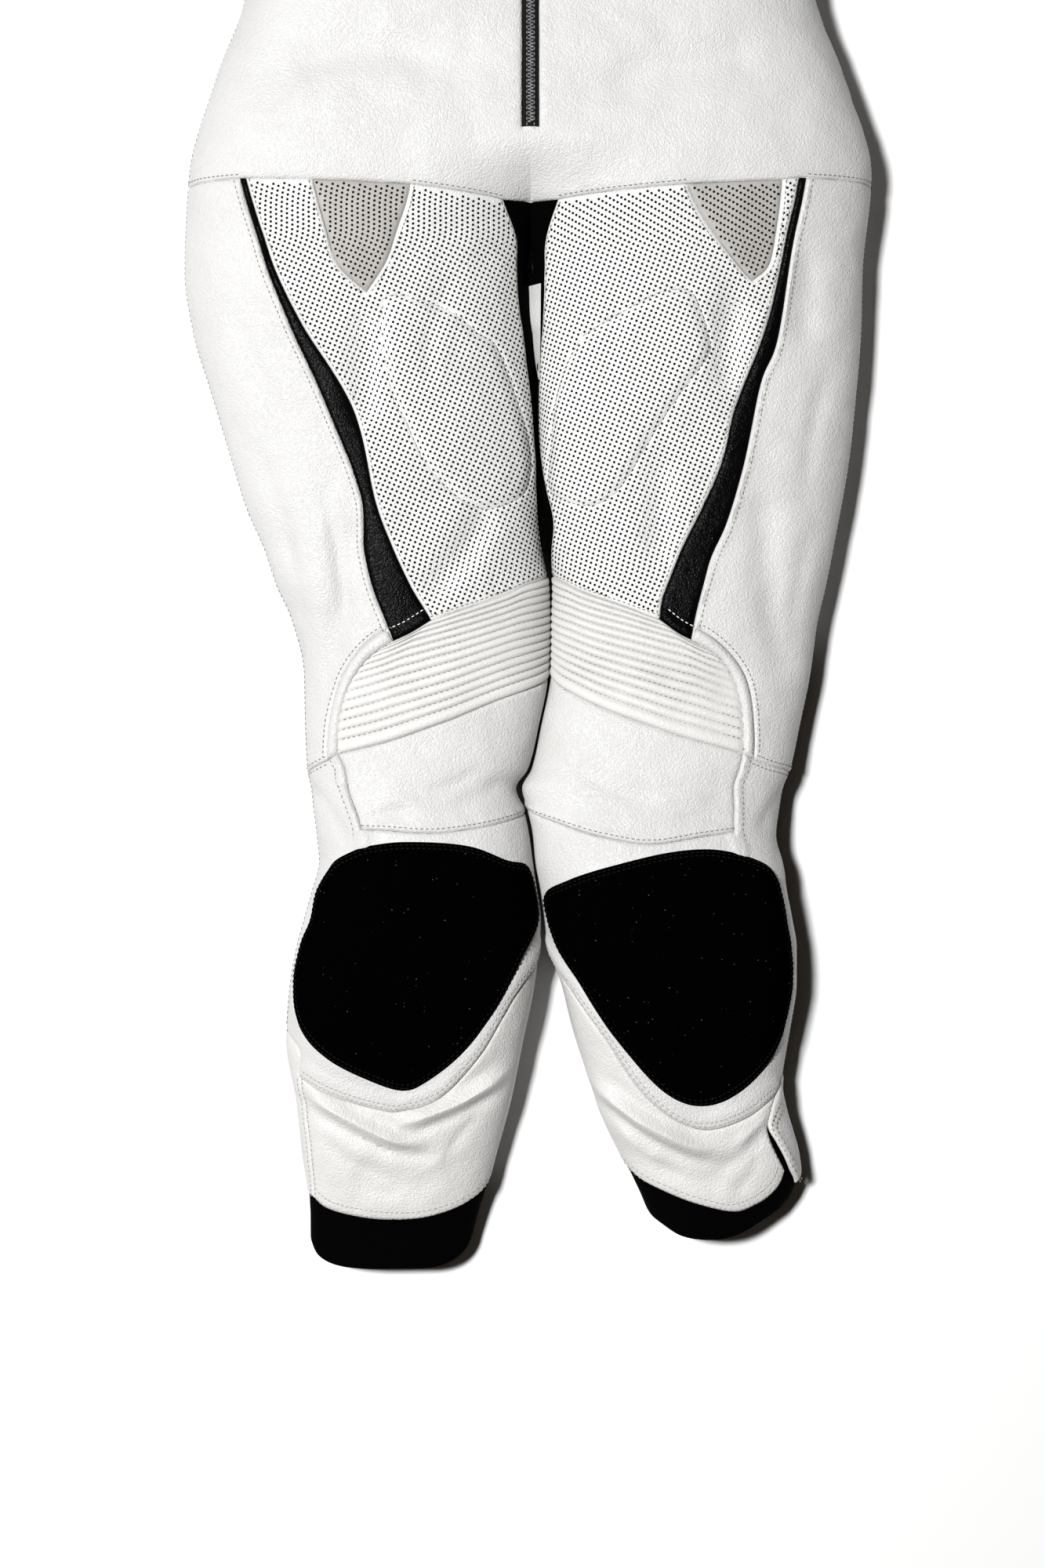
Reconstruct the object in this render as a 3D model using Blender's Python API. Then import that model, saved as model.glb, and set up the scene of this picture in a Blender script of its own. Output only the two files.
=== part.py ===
"""A one-piece leather motorcycle race suit, filled out and lying face up on a flat surface.

World axes: +X to the suit's left, +Y towards the collar, +Z up. The origin is on the surface,
under the middle of the suit's box. Sizes below are in millimetres, and the meshes are in metres.

Each half of the suit is one form: a row of flattened rings, whose position on the form is a
turn (0 at the inner edge, pi at the outer edge over the front, minus pi over the back) and a
distance down from the crotch. Seams are curves on that form, and every piece is a wall cut out
of it between its seams.
"""

import math

import bpy
import numpy as np
from mathutils import Vector
from mathutils.geometry import delaunay_2d_cdt

# ---------------------------------------------------------------- driving dimensions, mm
METRE = 0.001
CUFF_END_DOWN = 840.1        # crotch to the end of the right ankle cuff
COLLAR_TOP_DOWN = -694.0     # crotch to the top of the collar
SUIT_MIDDLE_DOWN = (CUFF_END_DOWN + COLLAR_TOP_DOWN) / 2.0

SEAM_GAP = 0.4               # between two pieces at a seam
LAYER_GAP = 0.3              # between a piece and what is sewn on it
LEATHER = 2.6                # wall of lined leather
STRETCH = 1.6                # wall of stretch cloth
SEAM_STEP = 26.0             # between a seam's points
FRONT_STEP = (36.0, 40.0)    # between a front piece's points, around and down
BACK_STEP = (40.0, 60.0)     # between the points of a piece that lies on the surface
SQUARENESS = 0.12            # 0 is an elliptical ring, 0.25 nearly a rounded box
TURN_SCALE = 75.0            # mm of cloth that one radian of turn stands for
STRAIGHT_STEP = 30.0         # between the points of a straight seam
ARMHOLE_STEP = 24.0          # between the points of the armhole seam
DETAIL_STEP = 22.0           # between the points along a fold or a patch's edge
GRID_CLEAR = 0.42            # the inner points' least distance from a seam, in steps
DETAIL_CLEAR = 0.6           # the same for a fold's points, as a share of GRID_CLEAR
MITRE_LIMIT = 0.03           # keeps the gap's corner from running far at a sharp end
EQUATOR_SHARE = 0.42         # height of the side edge as a share of the ring's height

MERGE_END_DOWN = -95.0       # above this line the two legs are one body
WAIST_DOWN = -232.0          # seam between hips and chest
ARMPIT_ACROSS = 262.0
ARMPIT_DOWN = -452.0
SHOULDER_ACROSS = 224.0
SHOULDER_DOWN = -622.0
NECK_FRONT_DOWN = -606.0
NECK_SIDE_ACROSS = 82.0
NECK_SIDE_DOWN = -655.0
SHOULDER_LIFT = 0.8          # the front stands this much over the back at the shoulder seam
SHOULDER_ROUND = 46.0        # how far below the shoulder seam the front turns over
BODY_RING_HEIGHT = 100.0
BODY_EQUATOR = BODY_RING_HEIGHT * EQUATOR_SHARE

SLEEVE_ANGLE = math.radians(45.0)
SLEEVE_TURN_LENGTH = 250.0   # over this length the rings turn square to the arm
SLEEVE_CUFF_ALONG = 548.0
SLEEVE_START = 3.6           # the sleeve's slanting first ring stands clear of the armhole
SLEEVE_FRONT_STEP = (38.0, 52.0)
SLEEVE_BACK_STEP = (38.0, 60.0)
SLEEVE_FOLD_SLANT = 16.0     # mm along the arm for each radian of turn
STRIP_STEP = (14.0, 24.0)    # between the ankle strip's points

RIB_COUNT = 13
RIB_RISE = 2.4
PAD_RISE = 3.2               # of the padded field on the thigh
PAD_EDGE = 9.0               # over which it rises
PAD_TOP_SHARE = 0.86         # its flat top, as a share of its outline
FOLD_FOOT = 1.15             # a fold's foot from its line, in half widths
PATCH_THICKNESS = 2.2
BAND_RISE = 1.0
CUFF_SINK = 1.4              # the cuff comes out from under the hem

ZIP_HALF_WIDTH = 7.0
ZIP_BOTTOM_DOWN = -100.0
ZIP_TAPE = 1.6               # its thickness
ZIP_SINK = 0.5               # the tape lies this much below the fronts
ZIP_ROWS = 30
ZIP_SLIDER_DOWN = -588.0
SLIDER_LENGTH = 14.0
SLIDER_WIDTH = 11.0
SLIDER_HEIGHT = 3.4
TAB_LENGTH = 34.0
TAB_WIDTH = 9.0
TAB_THICKNESS = 1.8
TAB_WINDOW = 5.4
TAB_REST_TILT = math.radians(3.0)
AXIS_RISE = 1.5              # the tab's axis above the slider's top
BRIDGE_WIDTH = 3.0
BRIDGE_INNER = 1.6
BRIDGE_OUTER = 2.9
BRIDGE_ROOT = 0.6            # the bridge's feet reach this far into the slider

INSEAM_TURN = -0.9           # the black stretch reaches this far round to the back
INSEAM_TOP_DOWN = 8.0
INSEAM_LOW_DOWN = 262.0
BACK_KNEE_DOWN = 318.0
CALF_DOWN = 480.0
BACK_EDGE = -1e-4            # the back's own side of the inner edge
COLLAR_GAP = 1.1             # the collar stands this far past the slanting neck seam
COLLAR_HEIGHT = 39.0
COLLAR_LEAN = 10.0           # how far the collar's front drops towards its top
COLLAR_WALL = 3.0
COLLAR_TAPER = 0.06          # how much narrower it is at its top
COLLAR_ROWS = 3

IN = -999.0                  # a seam's end on the inner edge
OUT = 999.0                  # a seam's end on the outer edge

# ---------------------------------------------------------------- rings of the form
# down from the crotch, height of the ring
HEIGHTS = (
    (-700, 84), (-622, 96), (-452, 100), (-330, 96), (-232, 90), (-95, 92), (0, 84),
    (110, 78), (240, 73), (343, 72), (430, 74), (520, 82), (600, 82), (690, 68),
    (770, 54), (815, 44), (860, 38),
)
# down from the crotch, outer edge: shared by both halves above the crotch
BODY_EDGE = (
    (-452, 262), (-390, 258), (-300, 240), (-232, 236), (-150, 262), (-70, 284),
)
# down from the crotch, inner edge, outer edge
RIGHT_LEG = (
    (10, 2, 288), (60, -1, 281), (110, -4, 266), (160, -7, 251), (208, -8, 236),
    (240, -10, 222), (270, -15, 212), (300, -16, 199), (343, -15, 189), (387, -7, 188),
    (423, 2, 186), (439, 12, 183), (455, 6, 181), (478, 1, 178), (500, -2, 176),
    (525, -6, 182), (546, -9, 188), (572, -7, 195), (600, -4, 200), (650, 6, 204),
    (700, 16, 196), (748, 29, 191), (775, 36, 187), (798, 43, 186), (819, 48, 186),
    (860, 56, 182),
)
LEFT_LEG = (
    (10, 2, 277), (60, 4, 276), (110, 6, 272), (160, 8, 267), (208, 11, 259),
    (240, 14, 253), (270, 19, 247), (300, 18, 240), (343, 17, 234), (387, 9, 225),
    (423, 1, 217), (439, -7, 211), (455, -3, 208), (478, 2, 205), (500, 4, 210),
    (525, 8, 214), (546, 11, 218), (572, 15, 222), (600, 25, 222), (640, 35, 217),
    (689, 51, 210), (705, 56, 213), (726, 65, 219), (744, 74, 224), (760, 82, 226),
    (779, 91, 220), (795, 98, 209), (812, 112, 198), (860, 130, 188),
)
# along the arm from the armhole, width, height
SLEEVE = (
    (0, 174, 100), (60, 172, 98), (150, 164, 90), (300, 142, 80), (430, 120, 66),
    (548, 96, 50), (600, 90, 44), (620, 88, 42),
)

# ---------------------------------------------------------------- seams
# Each seam is a smooth curve through (across, down) points on the front of its leg.
RIGHT_SEAMS = {
    "yoke_crotch": ((0, -44), (22, -44)),
    "yoke_thigh": ((22, -44), (98, -54)),
    "yoke_insert": ((98, -54), (178, -58)),
    "yoke_pocket": ((178, -58), (233, -60)),
    "yoke_stripe": ((233, -60), (238, -60)),
    "yoke_outer": ((238, -60), (OUT, -60)),
    "stripe_outer": ((238, -60), (217, 10), (189, 78), (163, 136), (139, 201), (137, 244),
                     (126, 285), (113, 318)),
    "stripe_inner": ((233, -60), (211, 10), (189, 56), (146, 127), (128, 201), (115, 237),
                     (99, 272), (82, 301)),
    "stripe_end": ((82, 301), (98, 311), (113, 318)),
    "insert_outer": ((178, -58), (168, -20), (158, 10), (134, 33)),
    "insert_inner": ((98, -54), (108, -20), (119, 10), (134, 33)),
    "thigh_inner": ((22, -44), (10, 10), (7, 49), (0, 103), (-5, 160), (-7, 215), (IN, 262)),
    "rib_top": ((82, 301), (50, 290), (17, 278), (0, 270), (IN, 262)),
    "rib_curve": ((113, 318), (135, 334), (151, 357), (158, 385), (159, 411)),
    "band_outer": ((113, 318), (120, 310), (142, 327), (159, 352), (167, 385), (168, 416)),
    "band_end": ((159, 411), (168, 416)),
    "rib_bottom": ((159, 411), (121, 402), (71, 385), (19, 364), (IN, 345)),
    "cross_outer": ((168, 416), (179, 421), (OUT, 427)),
    "knee_side": ((159, 411), (153, 423), (149, 444), (142, 462), (139, 473)),
    "knee_seam": ((139, 473), (114, 474), (80, 476), (45, 472), (15, 465), (IN, 459)),
    "zip_top": ((OUT, 640), (194, 655), (191, 678)),
    "surround": ((191, 678), (164, 693), (126, 704), (106, 705), (73, 693), (40, 657),
                 (10, 606), (IN, 576)),
    "zip_side": ((191, 678), (188, 705), (184, 740), (181, 781)),
    "hem_side": ((181, 781), (OUT, 776)),
    "hem": ((181, 781), (170, 789), (145, 795), (106, 798), (71, 792), (45, 779), (IN, 762)),
    "cuff_end": ((OUT, 817), (180, 829), (164, 837), (141, 840), (110, 840), (80, 839),
                 (60, 832), (IN, 817)),
}
LEFT_SEAMS = {
    "yoke_crotch": ((0, -44), (22, -44)),
    "yoke_thigh": ((22, -44), (128, -54)),
    "yoke_insert": ((128, -54), (206, -58)),
    "yoke_pocket": ((206, -58), (220, -60)),
    "yoke_stripe": ((220, -60), (226, -60)),
    "yoke_outer": ((226, -60), (OUT, -60)),
    "stripe_outer": ((226, -60), (213, 10), (202, 75), (189, 108), (174, 179), (161, 222),
                     (145, 261), (132, 317)),
    "stripe_inner": ((220, -60), (206, 10), (192, 65), (168, 127), (160, 162), (145, 201),
                     (113, 270), (106, 300)),
    "stripe_end": ((106, 300), (119, 310), (132, 317)),
    "insert_outer": ((206, -58), (202, -20), (196, 10), (182, 24)),
    "insert_inner": ((128, -54), (146, -20), (169, 10), (182, 24)),
    "thigh_inner": ((22, -44), (11, 10), (8, 72), (7, 136), (10, 179), (18, 222), (IN, 262)),
    "rib_top": ((106, 300), (71, 287), (41, 276), (28, 269), (IN, 262)),
    "rib_curve": ((132, 317), (155, 332), (169, 354), (175, 384), (175, 411)),
    "band_outer": ((132, 317), (139, 309), (162, 326), (178, 350), (184, 384), (184, 415)),
    "band_end": ((175, 411), (184, 415)),
    "rib_bottom": ((175, 411), (128, 398), (84, 383), (40, 364), (26, 356), (IN, 343)),
    "cross_outer": ((184, 415), (201, 421), (OUT, 426)),
    "knee_side": ((175, 411), (170, 430), (168, 450), (168, 465), (168, 475)),
    "knee_seam": ((168, 475), (139, 479), (98, 485), (58, 479), (17, 466), (IN, 456)),
    "zip_top": ((OUT, 676), (208, 682), (204, 692)),
    "surround": ((204, 692), (195, 700), (177, 712), (146, 721), (118, 712), (87, 684),
                 (56, 638), (30, 601), (IN, 575)),
    "zip_side": ((204, 692), (199, 712), (198, 725), (204, 741), (212, 757)),
    "hem_side": ((212, 757), (219, 765), (OUT, 772)),
    "hem": ((212, 757), (204, 773), (190, 784), (170, 791), (140, 785), (103, 771),
            (IN, 751)),
    "cuff_end": ((OUT, 774), (215, 786), (201, 797), (178, 809), (155, 815), (130, 814),
                 (114, 808), (IN, 794)),
}
BODY_SEAMS = {
    "zip_foot": ((0, ZIP_BOTTOM_DOWN), (ZIP_HALF_WIDTH, ZIP_BOTTOM_DOWN)),
    "zip_low": ((ZIP_HALF_WIDTH, ZIP_BOTTOM_DOWN), (ZIP_HALF_WIDTH, WAIST_DOWN)),
    "zip_high": ((ZIP_HALF_WIDTH, WAIST_DOWN), (ZIP_HALF_WIDTH, NECK_FRONT_DOWN)),
    "waist": ((ZIP_HALF_WIDTH, WAIST_DOWN), (OUT, WAIST_DOWN)),
    "neck_front": ((ZIP_HALF_WIDTH, NECK_FRONT_DOWN), (36, -612), (64, -630),
                   (NECK_SIDE_ACROSS, NECK_SIDE_DOWN)),
    "neck_back": ((0, -668), (45, -665), (NECK_SIDE_ACROSS, NECK_SIDE_DOWN)),
    "shoulder": ((NECK_SIDE_ACROSS, NECK_SIDE_DOWN), (SHOULDER_ACROSS, SHOULDER_DOWN)),
}
# seams that are straight across the suit, and their number of steps
STRAIGHT_SEAMS = {"shoulder": 7}
RIGHT_PATCH = (
    (138, 487), (103, 483), (53, 486), (20, 498), (1, 506), (-6, 546), (8, 581), (28, 621),
    (53, 654), (83, 679), (106, 688), (139, 677), (170, 660), (192, 634), (196, 606),
    (190, 568), (182, 548), (176, 523), (164, 502),
)
LEFT_PATCH = (
    (173, 493), (146, 489), (111, 492), (62, 504), (30, 515), (12, 528), (15, 550),
    (27, 580), (49, 615), (78, 656), (111, 690), (141, 701), (172, 690), (200, 662),
    (212, 636), (217, 597), (214, 559), (208, 528), (199, 506),
)
RIGHT_PAD = (
    (123, 65), (115, 36), (68, 46), (43, 65), (25, 80), (2, 147), (0, 180), (8, 198),
    (32, 209), (48, 206), (64, 196), (86, 172), (103, 136), (114, 114),
)
LEFT_PAD = (
    (43, 67), (80, 46), (106, 34), (125, 31), (136, 39), (147, 72), (145, 86), (127, 110),
    (106, 140), (80, 183), (67, 198), (52, 206), (32, 203), (15, 192), (16, 157), (19, 127),
    (28, 93),
)
# name: rise (a trough is negative), half width, points (across, down) along the fold
RIGHT_FOLDS = {
    "under_insert": (-5.0, 15.0, ((134, 40), (136, 95), (134, 150))),
    "over_ribs": (-4.5, 13.0, ((30, 205), (60, 252), (86, 283))),
    "outer_thigh": (-4.0, 14.0, ((146, 208), (149, 257), (158, 310), (172, 368), (184, 402))),
    "shin_outer": (3.6, 9.0, ((186, 686), (149, 714), (110, 731), (82, 733))),
    "shin_inner": (3.4, 9.0, ((116, 720), (71, 706), (43, 692), (14, 668))),
    "shin_low": (-3.0, 12.0, ((150, 752), (110, 764), (70, 752))),
    "hip": (-5.0, 18.0, ((60, -150), (130, -165), (210, -150))),
    "waist": (4.0, 16.0, ((50, -262), (130, -272), (205, -262))),
    "chest": (-4.0, 20.0, ((150, -330), (190, -380), (230, -440))),
}
LEFT_FOLDS = {
    "under_insert": (-5.0, 14.0, ((168, 32), (160, 78), (166, 118))),
    "thigh": (-4.0, 14.0, ((108, 160), (105, 215), (107, 262))),
    "outer_thigh": (-4.0, 14.0, ((191, 169), (194, 240), (202, 305), (216, 370))),
    "outer_top": (-4.0, 14.0, ((232, -10), (226, 40), (224, 80))),
    "shin_outer": (3.6, 9.0, ((46, 676), (73, 701), (103, 722), (140, 738), (165, 737))),
    "shin_low": (-3.0, 12.0, ((100, 742), (130, 760), (170, 764))),
    "hip": (-5.0, 18.0, ((50, -130), (120, -150), (200, -160))),
    "waist": (4.0, 16.0, ((40, -270), (120, -262), (200, -272))),
    "chest": (-4.0, 20.0, ((140, -320), (185, -375), (228, -436))),
}
# rise, half width, distance along the arm, turn where the fold starts and ends
SLEEVE_FOLDS = (
    (-4.0, 12.0, 225.0, 0.5, 1.9), (3.5, 11.0, 262.0, 0.4, 2.2), (-4.5, 12.0, 300.0, 0.5, 2.0),
    (3.0, 11.0, 340.0, 0.8, 2.4), (-3.5, 14.0, 470.0, 1.0, 2.6),
)

# name: base colour, roughness
FINISHES = {
    "white_leather": ((0.80, 0.80, 0.79), 0.48),
    "black_leather": ((0.018, 0.018, 0.019), 0.45),
    "grey_leather": ((0.50, 0.475, 0.455), 0.55),
    "black_stretch": ((0.012, 0.012, 0.013), 0.9),
    "black_loop": ((0.010, 0.010, 0.011), 0.95),
    "zip_tape": ((0.02, 0.02, 0.02), 0.85),
    "dark_metal": ((0.22, 0.22, 0.23), 0.32),
}


# ---------------------------------------------------------------- curves and tables
def smooth_table(rows, at, column):
    """The value of one column of a table at the given stations, with no overshoot."""
    stations = np.array([row[0] for row in rows], float)
    values = np.array([row[column] for row in rows], float)
    widths = np.diff(stations)
    slopes = np.diff(values) / widths
    tangents = np.zeros(len(values))
    tangents[0] = slopes[0]
    tangents[-1] = slopes[-1]
    same_way = slopes[:-1] * slopes[1:] > 0.0
    weight_a = 2.0 * widths[1:] + widths[:-1]
    weight_b = widths[1:] + 2.0 * widths[:-1]
    with np.errstate(divide="ignore", invalid="ignore"):
        blended = (weight_a + weight_b) / (weight_a / slopes[:-1] + weight_b / slopes[1:])
    tangents[1:-1] = np.where(same_way, blended, 0.0)
    at = np.clip(np.asarray(at, float), stations[0], stations[-1])
    index = np.clip(np.searchsorted(stations, at, side="right") - 1, 0, len(widths) - 1)
    share = (at - stations[index]) / widths[index]
    step_up = share * share * (3.0 - 2.0 * share)
    start_pull = share * (1.0 - share) ** 2 * widths[index] * tangents[index]
    end_pull = share * share * (share - 1.0) * widths[index] * tangents[index + 1]
    return values[index] * (1.0 - step_up) + values[index + 1] * step_up + start_pull + end_pull


def smooth_step(values, start, end):
    """0 before start, 1 after end, eased between."""
    share = np.clip((np.asarray(values, float) - start) / (end - start), 0.0, 1.0)
    return share * share * (3.0 - 2.0 * share)


def curve_through(points, spacing):
    """Evenly spaced points on a smooth curve through the given points, ends included."""
    points = np.asarray(points, float)
    before = 2.0 * points[0] - points[1]
    after = 2.0 * points[-1] - points[-2]
    padded = np.vstack([before, points, after])
    fine = []
    steps = np.linspace(0.0, 1.0, 12, endpoint=False)[:, None]
    for a, b, c, d in zip(padded, padded[1:], padded[2:], padded[3:]):
        fine.append(0.5 * (2.0 * b + (c - a) * steps + (2.0 * a - 5.0 * b + 4.0 * c - d)
                           * steps ** 2 + (3.0 * b - a - 3.0 * c + d) * steps ** 3))
    fine = np.vstack(fine + [points[-1:]])
    lengths = np.r_[0.0, np.cumsum(np.linalg.norm(np.diff(fine, axis=0), axis=1))]
    count = max(1, int(round(lengths[-1] / spacing)))
    marks = np.linspace(0.0, lengths[-1], count + 1)
    return np.column_stack([np.interp(marks, lengths, fine[:, k]) for k in range(2)])


def ring_across(turn):
    """1 at the inner edge, 0 over the crown, minus 1 at the outer edge."""
    return np.cos(turn) * (1.0 + SQUARENESS * np.sin(turn) ** 2)


def ring_rise(turn):
    """0 at either edge, 1 over the crown."""
    return np.sin(turn) * (1.0 + SQUARENESS * np.cos(turn) ** 2)


def distance_to_path(points, path):
    """The distance from each point to an open path, and how far along it, 0 to 1."""
    path = np.asarray(path, float)
    lengths = np.linalg.norm(np.diff(path, axis=0), axis=1)
    starts = np.r_[0.0, np.cumsum(lengths)]
    nearest = np.full(len(points), np.inf)
    along = np.zeros(len(points))
    for k, length in enumerate(lengths):
        way = (path[k + 1] - path[k]) / length
        offset = points - path[k]
        run = np.clip(offset @ way, 0.0, length)
        gap = np.linalg.norm(offset - run[:, None] * way, axis=1)
        closer = gap < nearest
        nearest = np.where(closer, gap, nearest)
        along = np.where(closer, (starts[k] + run) / starts[-1], along)
    return nearest, along


def inside_outline(points, outline):
    """Which points lie inside a closed outline."""
    inside = np.zeros(len(points), bool)
    ends = np.roll(outline, -1, axis=0)
    for (ax, ay), (bx, by) in zip(outline, ends):
        if ay == by:
            continue
        crosses = (points[:, 1] > ay) != (points[:, 1] > by)
        at = ax + (points[:, 1] - ay) / (by - ay) * (bx - ax)
        inside ^= crosses & (points[:, 0] < at)
    return inside


# ---------------------------------------------------------------- the form
class HalfForm:
    """One half of the suit, leg and body: positions by turn and distance down."""

    def __init__(self, side, legs, folds, pad):
        self.side = side
        self.outer_rows = BODY_EDGE + tuple((down, outer) for down, _, outer in legs)
        self.inner_rows = ((-720, 0), (-20, 0)) + tuple((down, inner) for down, inner, _ in legs)
        self.folds = folds
        self.pad = None if pad is None else np.asarray(pad, float)

    def inner(self, down):
        return smooth_table(self.inner_rows, down, 1)

    def outer(self, down):
        slope = (ARMPIT_ACROSS - SHOULDER_ACROSS) / (ARMPIT_DOWN - SHOULDER_DOWN)
        armhole = ARMPIT_ACROSS + (down - ARMPIT_DOWN) * slope
        return np.where(down < ARMPIT_DOWN, armhole, smooth_table(self.outer_rows, down, 1))

    def height(self, down):
        return smooth_table(HEIGHTS, down, 1)

    def merged(self, down):
        """0 on a leg of its own, 1 where both halves are one body."""
        return smooth_step(-np.asarray(down, float), 0.0, -MERGE_END_DOWN)

    def armhole_rise(self, down):
        """How high the outer edge stands in the armhole, as on the sleeve's first ring."""
        share = np.clip((ARMPIT_DOWN - down) / (ARMPIT_DOWN - SHOULDER_DOWN), 0.0, 1.0)
        turns = np.linspace(0.0, math.pi, 181)
        turn = np.interp(share, (1.0 - ring_across(turns)) / 2.0, turns)
        return np.clip(ring_rise(turn), 0.0, 1.0)

    def shoulder_close(self, across, down):
        """1 on the body, 0 on the shoulder seam, where front and back meet."""
        run = np.array([SHOULDER_ACROSS - NECK_SIDE_ACROSS, SHOULDER_DOWN - NECK_SIDE_DOWN])
        run /= np.linalg.norm(run)
        below = (down - NECK_SIDE_DOWN) * run[0] - (across - NECK_SIDE_ACROSS) * run[1]
        share = np.clip(below / SHOULDER_ROUND, 0.0, 1.0)
        rounded = np.sqrt(1.0 - (1.0 - share) ** 2)
        beyond_neck = smooth_step(across, NECK_SIDE_ACROSS - 26.0, NECK_SIDE_ACROSS)
        return 1.0 - beyond_neck * (1.0 - rounded)

    def across_front(self, turn, down):
        inner, outer, merged = self.inner(down), self.outer(down), self.merged(down)
        arm = self.armhole_rise(down)
        half = (outer - inner) / 2.0
        early = (1.0 - merged) * (1.0 - ring_across(turn)) + merged * turn * 2.0 / math.pi
        late = (1.0 - arm) * (1.0 - ring_across(turn)) + arm * turn * 2.0 / math.pi
        return inner + half * np.where(turn < math.pi / 2.0, early, late)

    def bare_front(self, turn, down):
        height = self.height(down)
        equator = height * EQUATOR_SHARE
        merged, arm = self.merged(down), self.armhole_rise(down)
        rise = ring_rise(turn)
        rise = np.where(turn < math.pi / 2.0, merged + (1.0 - merged) * rise,
                        arm + (1.0 - arm) * rise)
        across = self.across_front(turn, down)
        open_share = self.shoulder_close(across, down)
        lift = SHOULDER_LIFT * (1.0 - open_share)
        return across, equator + (height - equator) * rise * open_share + lift

    def bare_back(self, turn, down):
        inner, outer, merged = self.inner(down), self.outer(down), self.merged(down)
        arm = self.armhole_rise(down)
        equator = self.height(down) * EQUATOR_SHARE
        quarter = math.pi / 4.0
        angle_in = np.clip(turn / quarter, 0.0, 1.0) * math.pi / 2.0
        angle_out = np.clip((math.pi - turn) / quarter, 0.0, 1.0) * math.pi / 2.0
        even_in = angle_in / (math.pi / 2.0)
        even_out = angle_out / (math.pi / 2.0)
        low_in = inner + equator * ((1.0 - merged) * (1.0 - np.cos(angle_in)) + merged * even_in)
        low_out = outer - equator * ((1.0 - arm) * (1.0 - np.cos(angle_out)) + arm * even_out)
        share = np.clip((turn - quarter) / (2.0 * quarter), 0.0, 1.0)
        across = np.where(turn < quarter, low_in,
                          np.where(turn > 3.0 * quarter, low_out,
                                   (inner + equator) * (1.0 - share) + (outer - equator) * share))
        lift_in = (1.0 - merged) * (1.0 - np.sin(angle_in))
        lift_out = (1.0 - arm) * (1.0 - np.sin(angle_out))
        closing = 1.0 - self.shoulder_close(across, down)
        lift = np.maximum(np.where(turn < math.pi / 2.0, lift_in, lift_out), closing)
        return across, equator * lift

    def point(self, turn, down):
        """Positions in mm: across, down, up, for turns from -pi to 2 pi."""
        turn = np.asarray(turn, float)
        down = np.asarray(down, float)
        front = (turn >= 0.0) & (turn <= math.pi)
        front_turn = np.clip(turn, 0.0, math.pi)
        back_turn = np.where(turn < 0.0, -turn, np.clip(2.0 * math.pi - turn, 0.0, math.pi))
        front_across, front_up = self.bare_front(front_turn, down)
        back_across, back_up = self.bare_back(back_turn, down)
        across = np.where(front, front_across, back_across)
        return np.column_stack([across, down, np.where(front, front_up, back_up)])

    def core(self, turn, down):
        """A point inside the ring, which the outward side faces away from."""
        middle = (self.inner(down) + self.outer(down)) / 2.0
        return np.column_stack([middle, np.maximum(down, ARMPIT_DOWN),
                                self.height(down) * EQUATOR_SHARE])

    def relief(self, turn, down):
        """Folds and the padded field, as a move along the normal, in mm."""
        spots = self.point(turn, down)[:, :2]
        front = (turn > 0.0) & (turn < math.pi)
        total = np.zeros(len(spots))
        for rise, half_width, path in self.folds.values():
            gap, along = distance_to_path(spots, path)
            ends = smooth_step(along, 0.0, 0.25) * (1.0 - smooth_step(along, 0.75, 1.0))
            total += rise * np.exp(-(gap / half_width) ** 2) * (0.25 + 0.75 * ends)
        if self.pad is not None:
            closed = np.vstack([self.pad, self.pad[:1]])
            gap, _ = distance_to_path(spots, closed)
            total += inside_outline(spots, self.pad) * PAD_RISE * smooth_step(gap, 0.0, PAD_EDGE)
        return total * front

    def world(self, points):
        """Millimetres on the form to world millimetres."""
        return np.column_stack([self.side * points[:, 0], SUIT_MIDDLE_DOWN - points[:, 1],
                                points[:, 2]])

    def turn_at(self, across, down, back=False):
        """The turn at which the front, or the back, lies at this distance across."""
        turns = np.linspace(0.0, math.pi, 241)
        level = np.full(len(turns), float(down))
        line = self.bare_back(turns, level)[0] if back else self.across_front(turns, level)
        turn = float(np.interp(across, line, turns))
        return min(-turn, BACK_EDGE) if back else turn


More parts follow.
